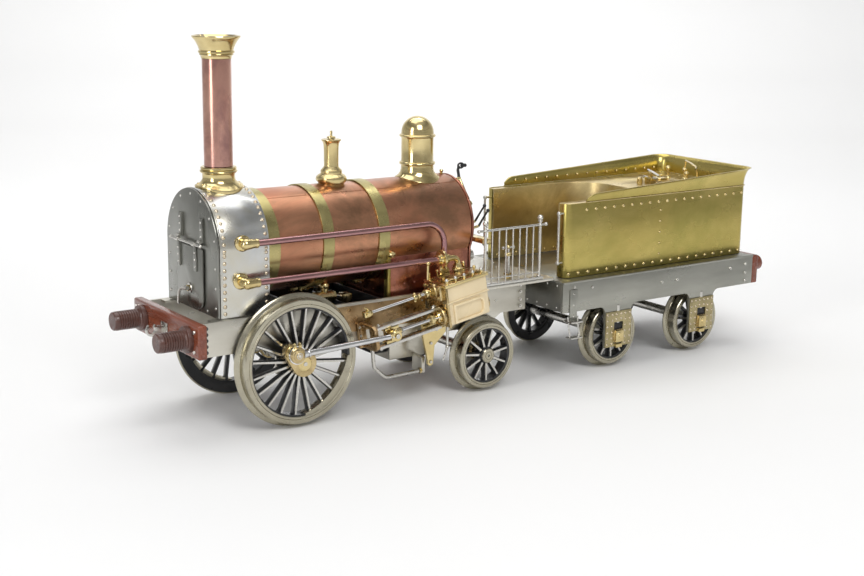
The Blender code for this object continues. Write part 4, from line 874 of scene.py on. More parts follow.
def connecting_rod(side):
    """Rod from the crank pin to the crosshead, with its small-end pin."""
    name, y = side_name(side), side * MAIN_ROD_Y
    px, pz = crank_pin(side)
    end = on_slope(crosshead_s(side), 0, 0)
    pin, small = Vector((px, y, pz)), Vector((end.x, y, end.z))
    body = "connecting_rod_" + name
    bar = Piece("main_rod_" + name, body, "bright_steel", body)
    turn = Matrix.Translation(pin) @ (small - pin).to_track_quat('X', 'Z').to_matrix().to_4x4()
    length = (small - pin).length
    bar.space = turn
    bush = [(3.25, 3.0), (6.4, 3.0), (7.2, 2.6)]
    for rib in (1.9, 0, -1.9):
        bush += [(7.5, rib + 0.55), (7.5, rib - 0.35), (7.0, rib - 0.7), (7.0, rib - 1.0)]
    bar.lathe([*bush, (6.8, -3.0), (3.25, -3.0)], (0, 0, 0), GUNMETAL, '+Y', 48, closed=True)
    bar.lathe([(7.6, 0.8), (8.6, 0.8), (8.6, -0.8), (7.6, -0.8)], (0, 0, 0), ROD_STEEL, '+Y', 48,
              closed=True)
    for x in (-2.6, 2.6):
        bar.block(x - 1.5, x + 1.5, -1.7, 1.7, 6.0, 10.2, BRASS, edge=0.7)
        bar.nut((x, 0, 10.0), (0, 0, 1), 2.4, 1.3, BRASS, stud=0.5)
    bar.pipe([(5.5, 0, 0), (8.5, 0, 0), (11, 0, 0), (length * 0.35, 0, 0), (length - 12, 0, 0),
              (length - 7, 0, 0), (length - 4, 0, 0)], [4.6, 3.9, 3.1, 3.15, 2.35, 2.5, 3.2], ROD_STEEL, 28)
    bar.lathe([(0, 0.8), (4.0, 0.8), (4.3, 0.4), (4.3, -0.8), (0, -0.8)], (11.6, 0, 0), ROD_STEEL, '+X', 24)
    bar.lathe([(2.5, 2.9), (4.9, 2.9), (5.3, 2.5), (5.3, -2.5), (4.9, -2.9), (2.5, -2.9)], (length, 0, 0),
              BRASS,
              '+Y', 36, closed=True)
    bar.block(length - 6.6, length - 3.4, -3.0, 3.0, -3.9, 3.9, BRASS, edge=0.6)
    bar.rod((length, -side * 2.9, 0), (length, side * 4.4, 0), 2.3, STEEL, sides=20)
    bar.nut((length, side * 2.7, 0), (0, side, 0), 4.8, 1.6, BRASS)
    bar.rod((length - 5, side * 3.2, 0), (length - 5, side * 4.4, 0), 1.1, STEEL)
    bar.rod((length, 0, 4.6), (length, 0, 7.0), 1.0, BRASS)
    bar.done()


def valve_rod(side):
    """Valve spindle with its fork, clamp and lubricator."""
    name, y, n = side_name(side), side * VALVE_ROD_Y, VALVE_ROD_N
    body = "valve_rod_" + name
    bar = Piece("valve_spindle_" + name, body, "bright_steel", body)
    bar.space = SLOPE
    bar.rod((76, y, n), (178, y, n), 1.5, ROD_STEEL, sides=20)
    bar.block(70.6, 78, y - 2.6, y + 2.6, n - 3.0, n + 3.0, BRASS, edge=0.9)
    bar.rod((74, y - side * 4.4, n), (74, y + side * 4.6, n), 1.9, BRASS)
    for turn in (-1, 1):
        bar.pipe([(77.5, y, n), (75.6, y + turn * 1.0, n + 3.6), (73.8, y + turn * 1.6, n + 6.4)],
                 [1.5, 1.2, 0.7], BRASS, 10)
    bar.nut((78, y, n), (1, 0, 0), 4.4, 2.2, BRASS)
    bar.lathe([(1.5, 8.2), (2.7, 8.0), (2.9, 7.2), (2.9, 5.8), (2.1, 5.2), (2.1, 3.4), (3.0, 3.0),
               (3.0, 0.8), (2.4, 0.1), (1.5, 0)], (128, y, n), BRASS, '+X', 20)
    bar.nut((131.5, y, n), (1, 0, 0), 5.0, 2.4, BRASS)
    for n_out in (-3.4, 3.4):
        bar.ball((130.0, y, n + n_out), 1.5, BRASS, 12)
        bar.rod((130.0, y, n), (130.0, y, n + n_out), 0.8, BRASS)
    bar.done()


# ---------------------------------------------------------------- wheels
def tyre_profile(radius, rim):
    """The rim's section, from its inner edge round the face, tread and flange to the back."""
    groove = radius - rim * 0.62
    return [(radius - rim, -0.2), (radius - rim + 0.5, 0), (groove - 0.25, 0), (groove, -0.35),
            (groove + 0.25, 0), (radius - 0.7, 0), (radius, -0.7), (radius, -10.4), (radius + 0.5, -10.9),
            (radius + 3.2, -11.5),
            (radius + FLANGE, -12.5), (radius + FLANGE, -13.6), (radius + 3.4, -14.6),
            (radius - rim, -14.6)]


def spoked_wheel(piece, radius, side, station, spokes, hub, rim, thick, first=0.0):
    """Tyre, rim, tapered spokes and hub of one wheel."""
    x, z = station
    y = side * FACE_Y
    outward = side_turn(side)
    piece.lathe(tyre_profile(radius, rim), (x, y, z), TYRE_STEEL, outward, 96, closed=True)
    piece.lathe([(radius - rim, -14.4), (radius - rim, -14.9), (radius + 3.1, -14.9),
                 (radius + 3.1, -14.4)], (x, y, z),
                BLACK, outward, 96, closed=True)
    piece.lathe([(radius - rim - 1.5, -1.6), (radius - rim + 0.2, -1.0), (radius - rim + 0.2, -13.2),
                 (radius - rim - 1.5, -12.6)], (x, y, z), BLACK, outward, 96, closed=True)
    piece.lathe([(AXLE_SEAT, 0.1), (hub - 0.6, 0.1), (hub, -0.5), (hub, -13.0), (hub - 1.4, -14.4),
                 (AXLE_SEAT, -14.4)],
                (x, y, z), BLACK, outward, 56, closed=True)
    sections = ((hub - 1.2, thick * 0.62, 1.6, 11.5), (hub + 4, thick * 0.46, 2.2, 10.6),
                (radius - rim - 5, thick * 0.40, 2.6, 10.4), (radius - rim - 0.4, thick * 0.66, 1.6, 11.2))
    faces = [(r * 12 + k, r * 12 + (k + 1) % 12, (r + 1) * 12 + (k + 1) % 12, (r + 1) * 12 + k)
             for r in range(len(sections) - 1) for k in range(12)]

    def on_spoke(a, reach, across, depth):
        """A point on a spoke: reach from the axle, across its width and depth behind the face."""
        return (Vector((x, 0, z)) + Vector((cos(a), 0, sin(a))) * reach
                + Vector((-sin(a), 0, cos(a))) * across + Vector((0, side * (FACE_Y - depth), 0)))

    for i in range(spokes):
        a = radians(first + 360 / spokes * i)
        verts = []
        for reach, half, front, back in sections:
            for k in range(12):
                b = 2 * pi * k / 12
                depth = (front + back) / 2 - cos(b) * (back - front) / 2
                verts.append(on_spoke(a, reach, half * sin(b), depth))
        piece.add(verts, faces, BLACK)
        edge = [on_spoke(a, reach, half * s, depth)
                for reach, half in ((hub + 1.2, thick * 0.27), (radius - rim - 1.2, thick * 0.20))
                for s in (-1, 1) for depth in (1.95, 3.2)]
        piece.add(edge, [(0, 2, 6, 4), (0, 4, 5, 1), (2, 3, 7, 6), (0, 1, 3, 2), (4, 6, 7, 5)], STEEL)


def driving_wheels():
    """Driving axle with two eccentrics, and its crank wheels."""
    body = "driving_wheelset"
    axle = Piece("driving_axle_bar", body, "bright_steel", "driving_axle")
    axle.rod((0, -59.6, DRIVER_R), (0, 59.6, DRIVER_R), 5.0, STEEL, sides=32)
    for y, swing in ((-12, 60), (12, 150)):
        axle.lathe([(0, 3), (8.6, 3), (9.2, 2.6), (9.2, -2.6), (8.6, -3), (0, -3)],
                   (1.6 * cos(radians(swing)), y, DRIVER_R + 1.6 * sin(radians(swing))), STEEL, '+Y', 48)
        axle.lathe([(9.3, 1.8), (10.9, 1.8), (10.9, -1.8), (9.3, -1.8)],
                   (1.6 * cos(radians(swing)), y, DRIVER_R + 1.6 * sin(radians(swing))), GUNMETAL, '+Y',
                   48, closed=True)
        axle.lathe([(5.0, 3), (7, 3), (7, -3), (5, -3)], (0, y + (9 if y > 0 else -9), DRIVER_R), STEEL,
                   '+Y', 32)
    axle.done()
    for side in SIDES:
        name = side_name(side)
        wheel = Piece("driving_wheel_detail_" + name, body, "wheel_black", "driving_wheel_" + name)
        angle = degrees(crank_angle(side))
        spoked_wheel(wheel, DRIVER_R, side, (0, DRIVER_R), 20, 10.5, 7.0, 4.0, first=angle)
        outer, half = DRIVER_R - 6.8, 43
        middle = angle + 180
        crescent = arc(0, DRIVER_R, outer, middle - half, middle + half, 34)
        for turn in steps_between(half, -half, 2.5):
            inner = DRIVER_R * (0.77 + 0.07 * (turn / half) ** 2)
            swing = radians(middle + turn)
            crescent.append((inner * cos(swing), DRIVER_R + inner * sin(swing)))
        wheel.plate([crescent], 9.0, (0, side * (FACE_Y - 4.6), 0), 'XZ', TYRE_STEEL, edge=0.3)
        px, pz = crank_pin(side)
        lean = degrees(asin(4.5 / THROW))
        web = [*arc(0, DRIVER_R, 12.5, angle + 90 - lean, angle + 270 + lean, 36),
               *arc(px, pz, 8.0, angle - 90 + lean, angle + 90 - lean, 28)]
        wheel.plate([web], 6.0, (0, side * (FACE_Y + 2.5), 0), 'XZ', GUNMETAL, edge=0.8)
        face = FACE_Y + 5.5
        wheel.lathe([(0, 0.9), (6.2, 0.9), (7.0, 0.2), (7.0, -0.4), (0, -0.4)], (0, side * face, DRIVER_R),
                    BRASS, side_turn(side), 40)
        wheel.rod((0, side * face, DRIVER_R), (0, side * (face + 1.5), DRIVER_R), 2.0, STEEL, sides=20)
        key = Matrix.Translation((0, 0, DRIVER_R)) @ Matrix.Rotation(-radians(angle), 4, 'Y')
        wheel.space = key
        wheel.block(4.0, 9.4, side * (face - 0.4), side * (face + 0.7), -1.1, 1.1, STEEL, edge=0.2)
        wheel.space = Matrix.Identity(4)
        wheel.rod((px, side * 76, pz), (px, side * 93.6, pz), 3.0, STEEL, sides=28)
        outward = side_turn(side)
        wheel.lathe([(0, 1.7), (2.2, 1.6), (2.5, 1.2), (2.5, 0.7), (4.9, 0.6), (5.3, 0.2), (0, 0.2)],
                    (px, side * 92.1, pz), GUNMETAL, outward, 28)
        wheel.lathe([(0, 1.85), (1.5, 1.85), (1.8, 1.4), (1.8, 0.8), (0, 0.8)], (px, side * 92.1, pz),
                    STEEL, outward, 6)
        ribs = [(3.0, 6.0), (6.4, 6.0)]
        for rib in (5.0, 3.1, 1.2):
            ribs += [(6.8, rib + 0.6), (6.8, rib - 0.2), (6.1, rib - 0.5), (6.1, rib - 0.9)]
        wheel.lathe([*ribs, (6.5, 0), (3.0, 0)], (px, side * 79.9, pz), BRASS, outward, 40, closed=True)
        wheel.done()


def carrying_wheels(name, node, radius, x, reach):
    """One axle with two plain wheels; reach is how far its journals stand out."""
    pair = Piece(name, node, "wheel_black", node)
    pair.rod((x, -60, radius), (x, 60, radius), 5.0, STEEL, sides=28)
    pair.rod((x, -reach, radius), (x, reach, radius), 4.0, STEEL, sides=24)
    for side in SIDES:
        spoked_wheel(pair, radius, side, (x, radius), 11, 7.5, 5.6, 4.2, first=9)
        if reach < 80:
            outward = side_turn(side)
            pair.lathe([(1.3, 1.5), (3.4, 1.5), (3.6, 1.1), (4.1, 1.1), (4.3, 1.5), (6.6, 1.4), (7.3, 0.9),
                        (7.3, -0.2),
                        (1.3, -0.2)], (x, side * (FACE_Y + 0.2), radius), TYRE_STEEL, outward, 44)
            pair.lathe([(0, 0.9), (1.4, 0.9), (1.4, -0.6), (0, -0.6)], (x, side * (FACE_Y + 0.2), radius),
                       DARK_STEEL, outward, 16)
    pair.done()


# ---------------------------------------------------------------- footplate and controls
def footplate():
    """Deck, brake column and crank, reversing lever and drag plate."""
    deck = Piece("footplate", "engine", "bright_steel", "footplate_deck")
    outline = [(300, -74), (300, 74), (206.5, 74), (206.5, 50), (216, 50), (216, -50), (206.5, -50),
               (206.5, -74)]
    deck.plate([outline], 3.0, (0, 0, 102.8), 'XY', FRAME_STEEL, edge=0.3)
    deck.rivets(grid(steps_between(222, 294, 12), (-40, -20, 0, 20, 40), 104.3), (0, 0, 1), 0.8, STEEL,
                sides=8)
    deck.lathe([(0, 5.4), (4.6, 5.4), (4.6, 4.2), (3.4, 3.6), (3.0, 0), (0, 0)], (BRAKE_X, BRAKE_Y, 103.8),
               BRASS, steps=24)
    deck.rod((BRAKE_X, BRAKE_Y, 103), (BRAKE_X, BRAKE_Y, 131), 2.2, STEEL, sides=20)
    deck.lathe([(1.4, 3.4), (3.2, 3.2), (3.6, 2.4), (3.6, 0.6), (3.0, 0), (1.4, 0)],
               (BRAKE_X, BRAKE_Y, 127.6), BRASS, steps=24)
    deck.block(230, 242, 38, 41, 102.6, 113, IRON, edge=0.6)
    deck.nuts(grid((232.5, 239.5), 41, (107, 110.6)), (0, 1, 0), 2.4, 1.2, STEEL)
    deck.done()
    handle = Piece("brake_crank", "brake_handle", "bright_steel", "brake_handle")
    handle.rod((BRAKE_X, BRAKE_Y, 131.3), (BRAKE_X, BRAKE_Y, 137.2), 1.3, STEEL)
    handle.rod((BRAKE_X - 6.6, BRAKE_Y, 136), (BRAKE_X + 6.6, BRAKE_Y, 136), 1.0, STEEL)
    for x in (BRAKE_X - 6.8, BRAKE_X + 6.8):
        handle.ball((x, BRAKE_Y, 136), 1.6, STEEL)
    handle.ball((BRAKE_X, BRAKE_Y, 136.4), 2.0, BRASS)
    handle.done()
    lever = Piece("reverser", "reversing_lever", "black_iron", "reversing_lever")
    lever.rod((236, 31, 108), (236, 37, 108), 3.2, IRON, sides=24)
    lever.rod((236, 30.4, 108), (236, 31.2, 108), 1.8, STEEL)
    lever.plate([[(234.0, 108), (234.6, 166), (237.4, 166), (238.0, 108)]], 2.6, (0, 34, 0), 'XZ', IRON,
                edge=0.4)
    lever.rod((LEVER_X, LEVER_Y, 165), (LEVER_X, LEVER_Y, 178), 1.8, STEEL, end=1.6, sides=20)
    lever.ball((LEVER_X, LEVER_Y, 178), 1.9, STEEL)
    lever.pipe([(238.4, 34, 150), (239.6, 34, 156), (239.2, 34, 168)], 0.6, STEEL, 8)
    lever.done()
    beam = Piece("drag_plate", "engine", "bright_steel", "drag_beam")
    beam.block(272, 277, -53, 53, 72, 100.7, FRAME_STEEL, edge=0.5)
    beam.block(276, 290, -9, 9, 76, 80, FRAME_STEEL, edge=0.6)
    beam.rod((285, 0, 78), (285, 0, 92), 2.5, STEEL, sides=20)
    beam.lathe([(0, 1.6), (3.2, 1.4), (3.8, 0), (0, 0)], (285, 0, 90.6), STEEL, steps=20)
    beam.rivets(grid(277, (-44, -22, 22, 44), (80, 94)), (1, 0, 0), 1.1, STEEL)
    beam.done()


def railing(side):
    """Footplate railing with posts, balls and bars."""
    y = side * 72.2
    rail = Piece("handrail_" + side_name(side), "engine", "bright_steel", "railing_" + side_name(side))
    rail.block(207, 286, side * 70.6, side * 73.8, 104.6, 107.5, STEEL, edge=0.4)
    for x in (211.0, 281.0):
        rail.rod((x, y, 106), (x, y, 166), 1.45, STEEL, sides=18)
        rail.lathe([(0, 1.6), (2.4, 1.4), (2.6, 0.8), (2.4, 0.2), (0, 0)], (x, y, 107.5), STEEL, steps=18)
        rail.lathe([(0, 1.4), (2.1, 1.2), (2.3, 0.6), (2.1, 0), (0, 0)], (x, y, 164.2), STEEL, steps=18)
        rail.ball((x, y, 168.3), 2.9, STEEL, 20)
        rail.ball((x, y, 161), 2.3, STEEL, 16)
    rail.rod((203, y, 161), (288.5, y, 161), 1.2, STEEL, sides=16)
    for x in (203, 288.5):
        rail.ball((x, y, 161), 1.9, STEEL, 16)
    rail.rod((211, y, 112), (281, y, 112), 0.75, STEEL)
    for i in range(1, 8):
        x = 211.0 + 8.75 * i
        rail.rod((x, y, 107), (x, y, 161), 0.8, STEEL, sides=12)
    rail.done()


def backhead():
    """Boiler back plate with its fittings, and the regulator handle."""
    spread = degrees(asin(44 / BOILER_R))
    plate = Piece("backplate", "engine", "copper", "backhead")
    outline = [*arc(0, BOILER_Z, BOILER_R - 0.2, spread - 90, 270 - spread, 72), (-44, 62), (44, 62)]
    plate.plate([outline], 2.4, (213.5, 0, 0), 'YZ', FIRE_COPPER, edge=0.5)
    for a in steps_between(-24, 204, 12):
        plate.rivet((214.7, 44.6 * cos(radians(a)), BOILER_Z + 44.6 * sin(radians(a))), (1, 0, 0), 1.0,
                    FIRE_COPPER)
    plate.rivets(grid(214.7, (-39, 39), (74, 88, 102, 116, 130)), (1, 0, 0), 1.0, FIRE_COPPER)
    plate.lathe([(0, 6.6), (2.6, 6.6), (4.2, 5.6), (4.5, 3.2), (4.5, 2.4), (6.4, 2.0), (6.6, 0), (0, 0)],
                (BACKHEAD_FACE, REGULATOR_Y, REGULATOR_Z), BRASS,
                '+X', 30)
    plate.lathe([(9.4, 2.8), (12.6, 2.6), (13, 2.2), (13, 0), (9.4, 0)], (BACKHEAD_FACE, 0, FIRE_HOLE_Z),
                BRASS, '+X', 48, closed=True)
    plate.lathe([(0, 2.2), (9.0, 2.2), (9.4, 1.6), (9.4, 0), (0, 0)], (BACKHEAD_FACE, 0, FIRE_HOLE_Z),
                IRON, '+X', 40)
    plate.block(216.2, 218, -15, -7, 126.4, 129.6, IRON, edge=0.4)
    plate.rod((217, 3, 128), (221.5, 5, 128), 1.0, STEEL)
    for z in (150, 182):
        plate.rod((214.6, 22, z), (222, 22, z), 2.3, BRASS, sides=18)
        plate.nut((215.4, 22, z), (1, 0, 0), 6.4, 2.0, BRASS)
        plate.nut((221.4, 22, z - 3.4), (0, 0, 1), 6.0, 2.6, BRASS)
        plate.rod((221.4, 22, z), (221.4, 30, z), 1.2, BRASS)
        plate.rod((219.6, 30, z), (223.2, 30, z), 0.9, IRON)
    plate.rod((221.4, 22, 147), (221.4, 22, 186.5), 1.7, CREAM, sides=16)
    plate.nut((221.4, 22, 185.2), (0, 0, 1), 4.6, 3.0, BRASS)
    plate.rod((221.4, 22, 146.5), (221.4, 22, 140), 0.9, BRASS)
    plate.rod((214, -18, 205.5), (217.8, -18, 206), 1.8, BRASS, sides=16)
    plate.pipe([(217.6, -18, 207.5), (218, -18.6, 205), (218.4, -22, 200), (218.4, -27, 193.5),
                (218.4, -33, 187)],
               1.6, BRASS, 16)
    plate.ball((218.4, -34, 183), 3.2, BRASS, 18)
    plate.rod((218.4, -34, 183), (218.4, -34, 174), 2.2, BRASS, sides=16)
    plate.rod((218.4, -38.5, 183), (218.4, -29.5, 183), 1.3, BRASS)
    for y, base in ((-35, 164), (-41, 160)):
        plate.rod((214, y, base - 2), (226, y, base), 1.4, BRASS)
        plate.pipe([(226, y, base), (226, y - 8, base + 10), (226, y - 15, base + 18)], [1.2, 1.0, 0.9],
                   IRON, 10)
        plate.ball((226, y - 15, base + 18), 1.9, IRON, 14)
    plate.block(214.8, 225, -63, -33, 146, 151, BRASS, edge=0.6)
    plate.lathe([(3.9, 2.4), (5.4, 2.4), (5.8, 1.8), (5.8, -1.8), (5.4, -2.4), (3.9, -2.4)],
                (216.5, -38, 131), STEEL, '+X', 36, closed=True)
    plate.lathe([(0, 1.4), (4.0, 1.4), (4.0, -1.4), (0, -1.4)], (216.5, -38, 131), CREAM, '+X', 28)
    plate.done()
    lever = Piece("regulator_handle", "regulator_lever", "black_iron", "regulator_lever")
    lever.rod((221.7, REGULATOR_Y, REGULATOR_Z), (224.7, REGULATOR_Y, REGULATOR_Z), 3.4, IRON, sides=24)
    lever.nut((224.6, REGULATOR_Y, REGULATOR_Z), (1, 0, 0), 3.6, 1.6, STEEL)
    lever.pipe([(223.4, REGULATOR_Y, REGULATOR_Z), (223.4, -9.5, 201), (223.4, -9.2, 208),
                (223.6, -7.4, 213), (224.6, -7.6, 217.6)],
               [2.0, 1.6, 1.5, 1.5, 1.3], IRON, 14)
    loop = [(226.6 + 3.4 * cos(radians(a)), -8, 217.6 + 2.4 * sin(radians(a))) for a in range(0, 375, 15)]
    lever.pipe(loop, 1.0, IRON, 10, ends=False)
    lever.rod((227, -8, 217.6), (232, -8, 217.5), 1.5, IRON, end=1.9, sides=20)
    lever.ball((232, -8, 217.5), 1.9, IRON, 14)
    lever.done()


# ---------------------------------------------------------------- tender
def rounded_path(x0, x1, half, corner, steps=12):
    """A rectangle in plan with rounded corners."""
    return [*arc(x0 + corner, -half + corner, corner, 180, 270, steps),
            *arc(x1 - corner, -half + corner, corner, 270, 360, steps),
            *arc(x1 - corner, half - corner, corner, 0, 90, steps),
            *arc(x0 + corner, half - corner, corner, 90, 180, steps)]


def open_path(inset):
    """The outer wall in plan, from one leg's front round the back to the other's."""
    return [(TANK_FRONT + inset, -57), *rounded_path(TANK_FRONT + inset, TANK_BACK - inset,
                                                     TANK_HALF - inset, 9 - inset),
            (TANK_FRONT + inset, 57)]


def horseshoe(offset, steps=20):
    """The coal space in plan, widened by offset."""
    return [(319.5, -55 - offset), *arc(413, -13, 42 + offset, 270, 360, steps),
            *arc(413, 13, 42 + offset, 0, 90, steps), (319.5, 55 + offset)]


def side_rivets(piece, z, first, last, pitch, radius, finish_):
    """A row along both long sides and across the back of the tank."""
    for side in SIDES:
        piece.rivets(grid(steps_between(first, last, pitch), side * TANK_HALF, z), (0, side, 0), radius,
                     finish_)
    piece.rivets(grid(TANK_BACK, steps_between(-56, 56, pitch), z), (1, 0, 0), radius, finish_)


def tender_tank():
    """Outer sheet, coal space, top with its valves, and the filler lid."""
    wrapper = Piece("tank_outer_sheet", "tender", "brass", "tank_wrapper")
    wrapper.plate([open_path(0) + open_path(1.6)[::-1]], 78, (0, 0, 138.8), 'XY', TANK_BRASS, edge=0.3)
    side_rivets(wrapper, 104, 324, 579, 13.2, 2.0, BRASS)
    side_rivets(wrapper, 170.5, 346, 579, 13.2, 1.9, BRASS)
    for side in SIDES:
        wrapper.rivets(grid(453, side * TANK_HALF, steps_between(113, 161, 12)), (0, side, 0), 1.3, BRASS)
        rail_x, rail_y = 313.5, side * 63
        for z in (116, 168):
            wrapper.rod((319.4, rail_y, z), (rail_x, rail_y, z), 1.1, STEEL)
            wrapper.ball((rail_x, rail_y, z), 2.3, STEEL, 16)
        wrapper.rod((rail_x, rail_y, 114), (rail_x, rail_y, 170), 1.3, STEEL, sides=18)
        wrapper.block(318.8, 320.8, side * 57, side * 58.4, 99.8, 177.6, TANK_BRASS, edge=0.2)
    wrapper.done()

    lining = Piece("coal_space_sheet", "tender", "brass", "coal_space_lining")
    lining.plate([horseshoe(0) + horseshoe(1.6)[::-1]], 78, (0, 0, 138.8), 'XY', LINING_BRASS, edge=0.3)
    for side in SIDES:
        lining.rivets(grid(steps_between(326, 408, 13.2), side * 54.95, 104), (0, -side, 0), 1.35, BRASS)
    lining.done()

    top = Piece("tank_cover", "tender", "brass", "tank_top_plate")
    top.plate([open_path(1.9) + horseshoe(1.9)[::-1], arc(FILLER_X, FILLER_Y, 9, 0, 350, 35)], 1.6,
              (0, 0, 176.4), 'XY', LINING_BRASS, edge=0.25)
    top.rivets(grid(steps_between(470, 580, 10), (-62, 62), TANK_TOP), (0, 0, 1), 0.9, BRASS)
    top.rivets(grid(580, steps_between(-52, 52, 10.4), TANK_TOP), (0, 0, 1), 0.9, BRASS)
    top.lathe([(9.1, 0.9), (11.4, 0.9), (11.4, -0.2), (9.1, -0.2)], (FILLER_X, FILLER_Y, 177.0), BRASS,
              steps=44, closed=True)
    top.block(500, 509, -3, 7, 176.4, 185, BRASS, edge=0.8)
    top.rod((504.5, -9, 183.6), (504.5, 13, 183.6), 1.5, STEEL, sides=18)
    top.rod((504.5, 2, 184), (504.5, 2, 190.5), 2.6, BRASS, sides=20)
    top.pipe([(497, -20, 188.5), (504.5, 0, 190.6), (512, 14, 190.8)], [1.5, 1.7, 1.3], STEEL, 12)
    top.rod((488, 2, 177), (488, 2, 184), 3.2, BRASS, sides=24)
    top.nut((488, 2, 183.6), (0, 0, 1), 5.0, 2.2, BRASS)
    for x, y, height in ((555, 25, 14), (548, -12, 12), (561, 4, 14)):
        top.lathe([(0, height - 4), (1.5, height - 4.2), (1.7, 3.0), (3.2, 1.2), (3.4, 0), (0, 0)],
                  (x, y, 177.1), BRASS, steps=24)
        top.ball((x, y, 177.1 + height - 2.2), 2.9, BRASS, 20)
    top.pipe([(540, -37, 178), (539, -38, 186), (533, -43, 193), (524, -50, 198.5), (530, -44, 199.5),
              (546, -20, 200), (560, 2, 199.6), (561, 4, 190)], 1.2, BRASS, 12)
    top.lathe([(0, 1.4), (3.4, 1.2), (3.8, 0), (0, 0)], (540, -37, 177.1), BRASS, steps=24)
    top.done()

    lid = Piece("filler_cover", "filler_lid", "brass", "filler_lid")
    lid.lathe([(0, 2.5), (6.4, 2.4), (7.0, 2.1), (10.4, 2.0), (11, 1.5), (11, 0.4), (10.6, 0), (0, 0)],
              (FILLER_X, FILLER_Y, 178.1), BRASS, steps=48)
    lid.rod((524, 16.8, 179.9), (524, 27.2, 179.9), 1.5, STEEL, sides=16)
    lid.block(524, 530, 20, 24, 178.4, 180.5, BRASS, edge=0.4)
    lid.ball((541, 22, 181.6), 1.7, BRASS, 14)
    lid.rod((541, 22, 180.2), (541, 22, 181.4), 0.9, BRASS)
    lid.done()


def coping():
    """The flared rim, from its curled noses behind the legs round the back."""
    x0, x1, corner, wide = 345.0, TANK_BACK, 9.0, 60.0
    stations = (0, 0.7, 1.6, 3, 5, 8, 12, 20, 60, 120, 180, 225, 233)
    base = [(x0 + step, -TANK_HALF, 0.0, -1.0) for step in stations]
    path = list(base)
    for centre_y, start in ((-wide, 270), (wide, 0)):
        for i in range(13):
            a = radians(start + 7.5 * i)
            path.append((x1 - corner + corner * cos(a), centre_y + corner * sin(a), cos(a), sin(a)))
    path += [(x, -y, 0.0, 1.0) for x, y, _, _ in reversed(base)]
    outer, inner, steps = [], [], 10
    for x, y, nx, ny in path:
        along = min(1.0, max(0.0, (x - x0) / (x1 - x0)))
        rise = min(1.0, (along * (x1 - x0) + 1.0) / 11) ** 0.5
        height, lean = (8.5 + 11.6 * along) * rise, (3.4 + 5.2 * along) * rise
        for rows, inset in ((outer, 0.0), (inner, 1.1)):
            row = []
            for step in range(steps + 1):
                swing = radians(84 * step / steps)
                out, up = lean * (1 - cos(swing)), height * sin(swing) / sin(radians(84))
                out -= inset * sin(swing + 0.35) if inset else 0
                up += inset * 0.25 * (1 - cos(swing)) if inset else 0
                row.append(Vector((x + nx * out, y + ny * out, 178.1 + up)))
            rows.append(row)
    rim = Piece("flared_rim", "tender", "brass", "tank_coping")
    width, count = steps + 1, len(path)
    verts = [v for row in outer for v in row] + [v for row in inner for v in row]
    back = count * width
    faces = []
    for r in range(count - 1):
        for k in range(steps):
            a = r * width + k
            faces.append((a, a + width, a + width + 1, a + 1))
            faces.append((back + a, back + a + 1, back + a + width + 1, back + a + width))
        a = r * width
        faces.append((a, back + a, back + a + width, a + width))
        a += steps
        faces.append((a, a + width, back + a + width, back + a))
    for r in (0, count - 1):
        for k in range(steps):
            a = r * width + k
            faces.append((a, a + 1, back + a + 1, back + a))
    rim.add(verts, faces, TANK_BRASS)
    bead = [(x + nx * 0.5, y + ny * 0.5, 178.4) for x, y, nx, ny in path]
    rim.pipe(bead, 0.75, BRASS, 8)
    for side in SIDES:
        rim.rivets(grid(steps_between(360, 574, 15.5), side * 67.7, 183.5), (0, -side, 0), 1.5, BRASS)
    rim.done(angle=50)


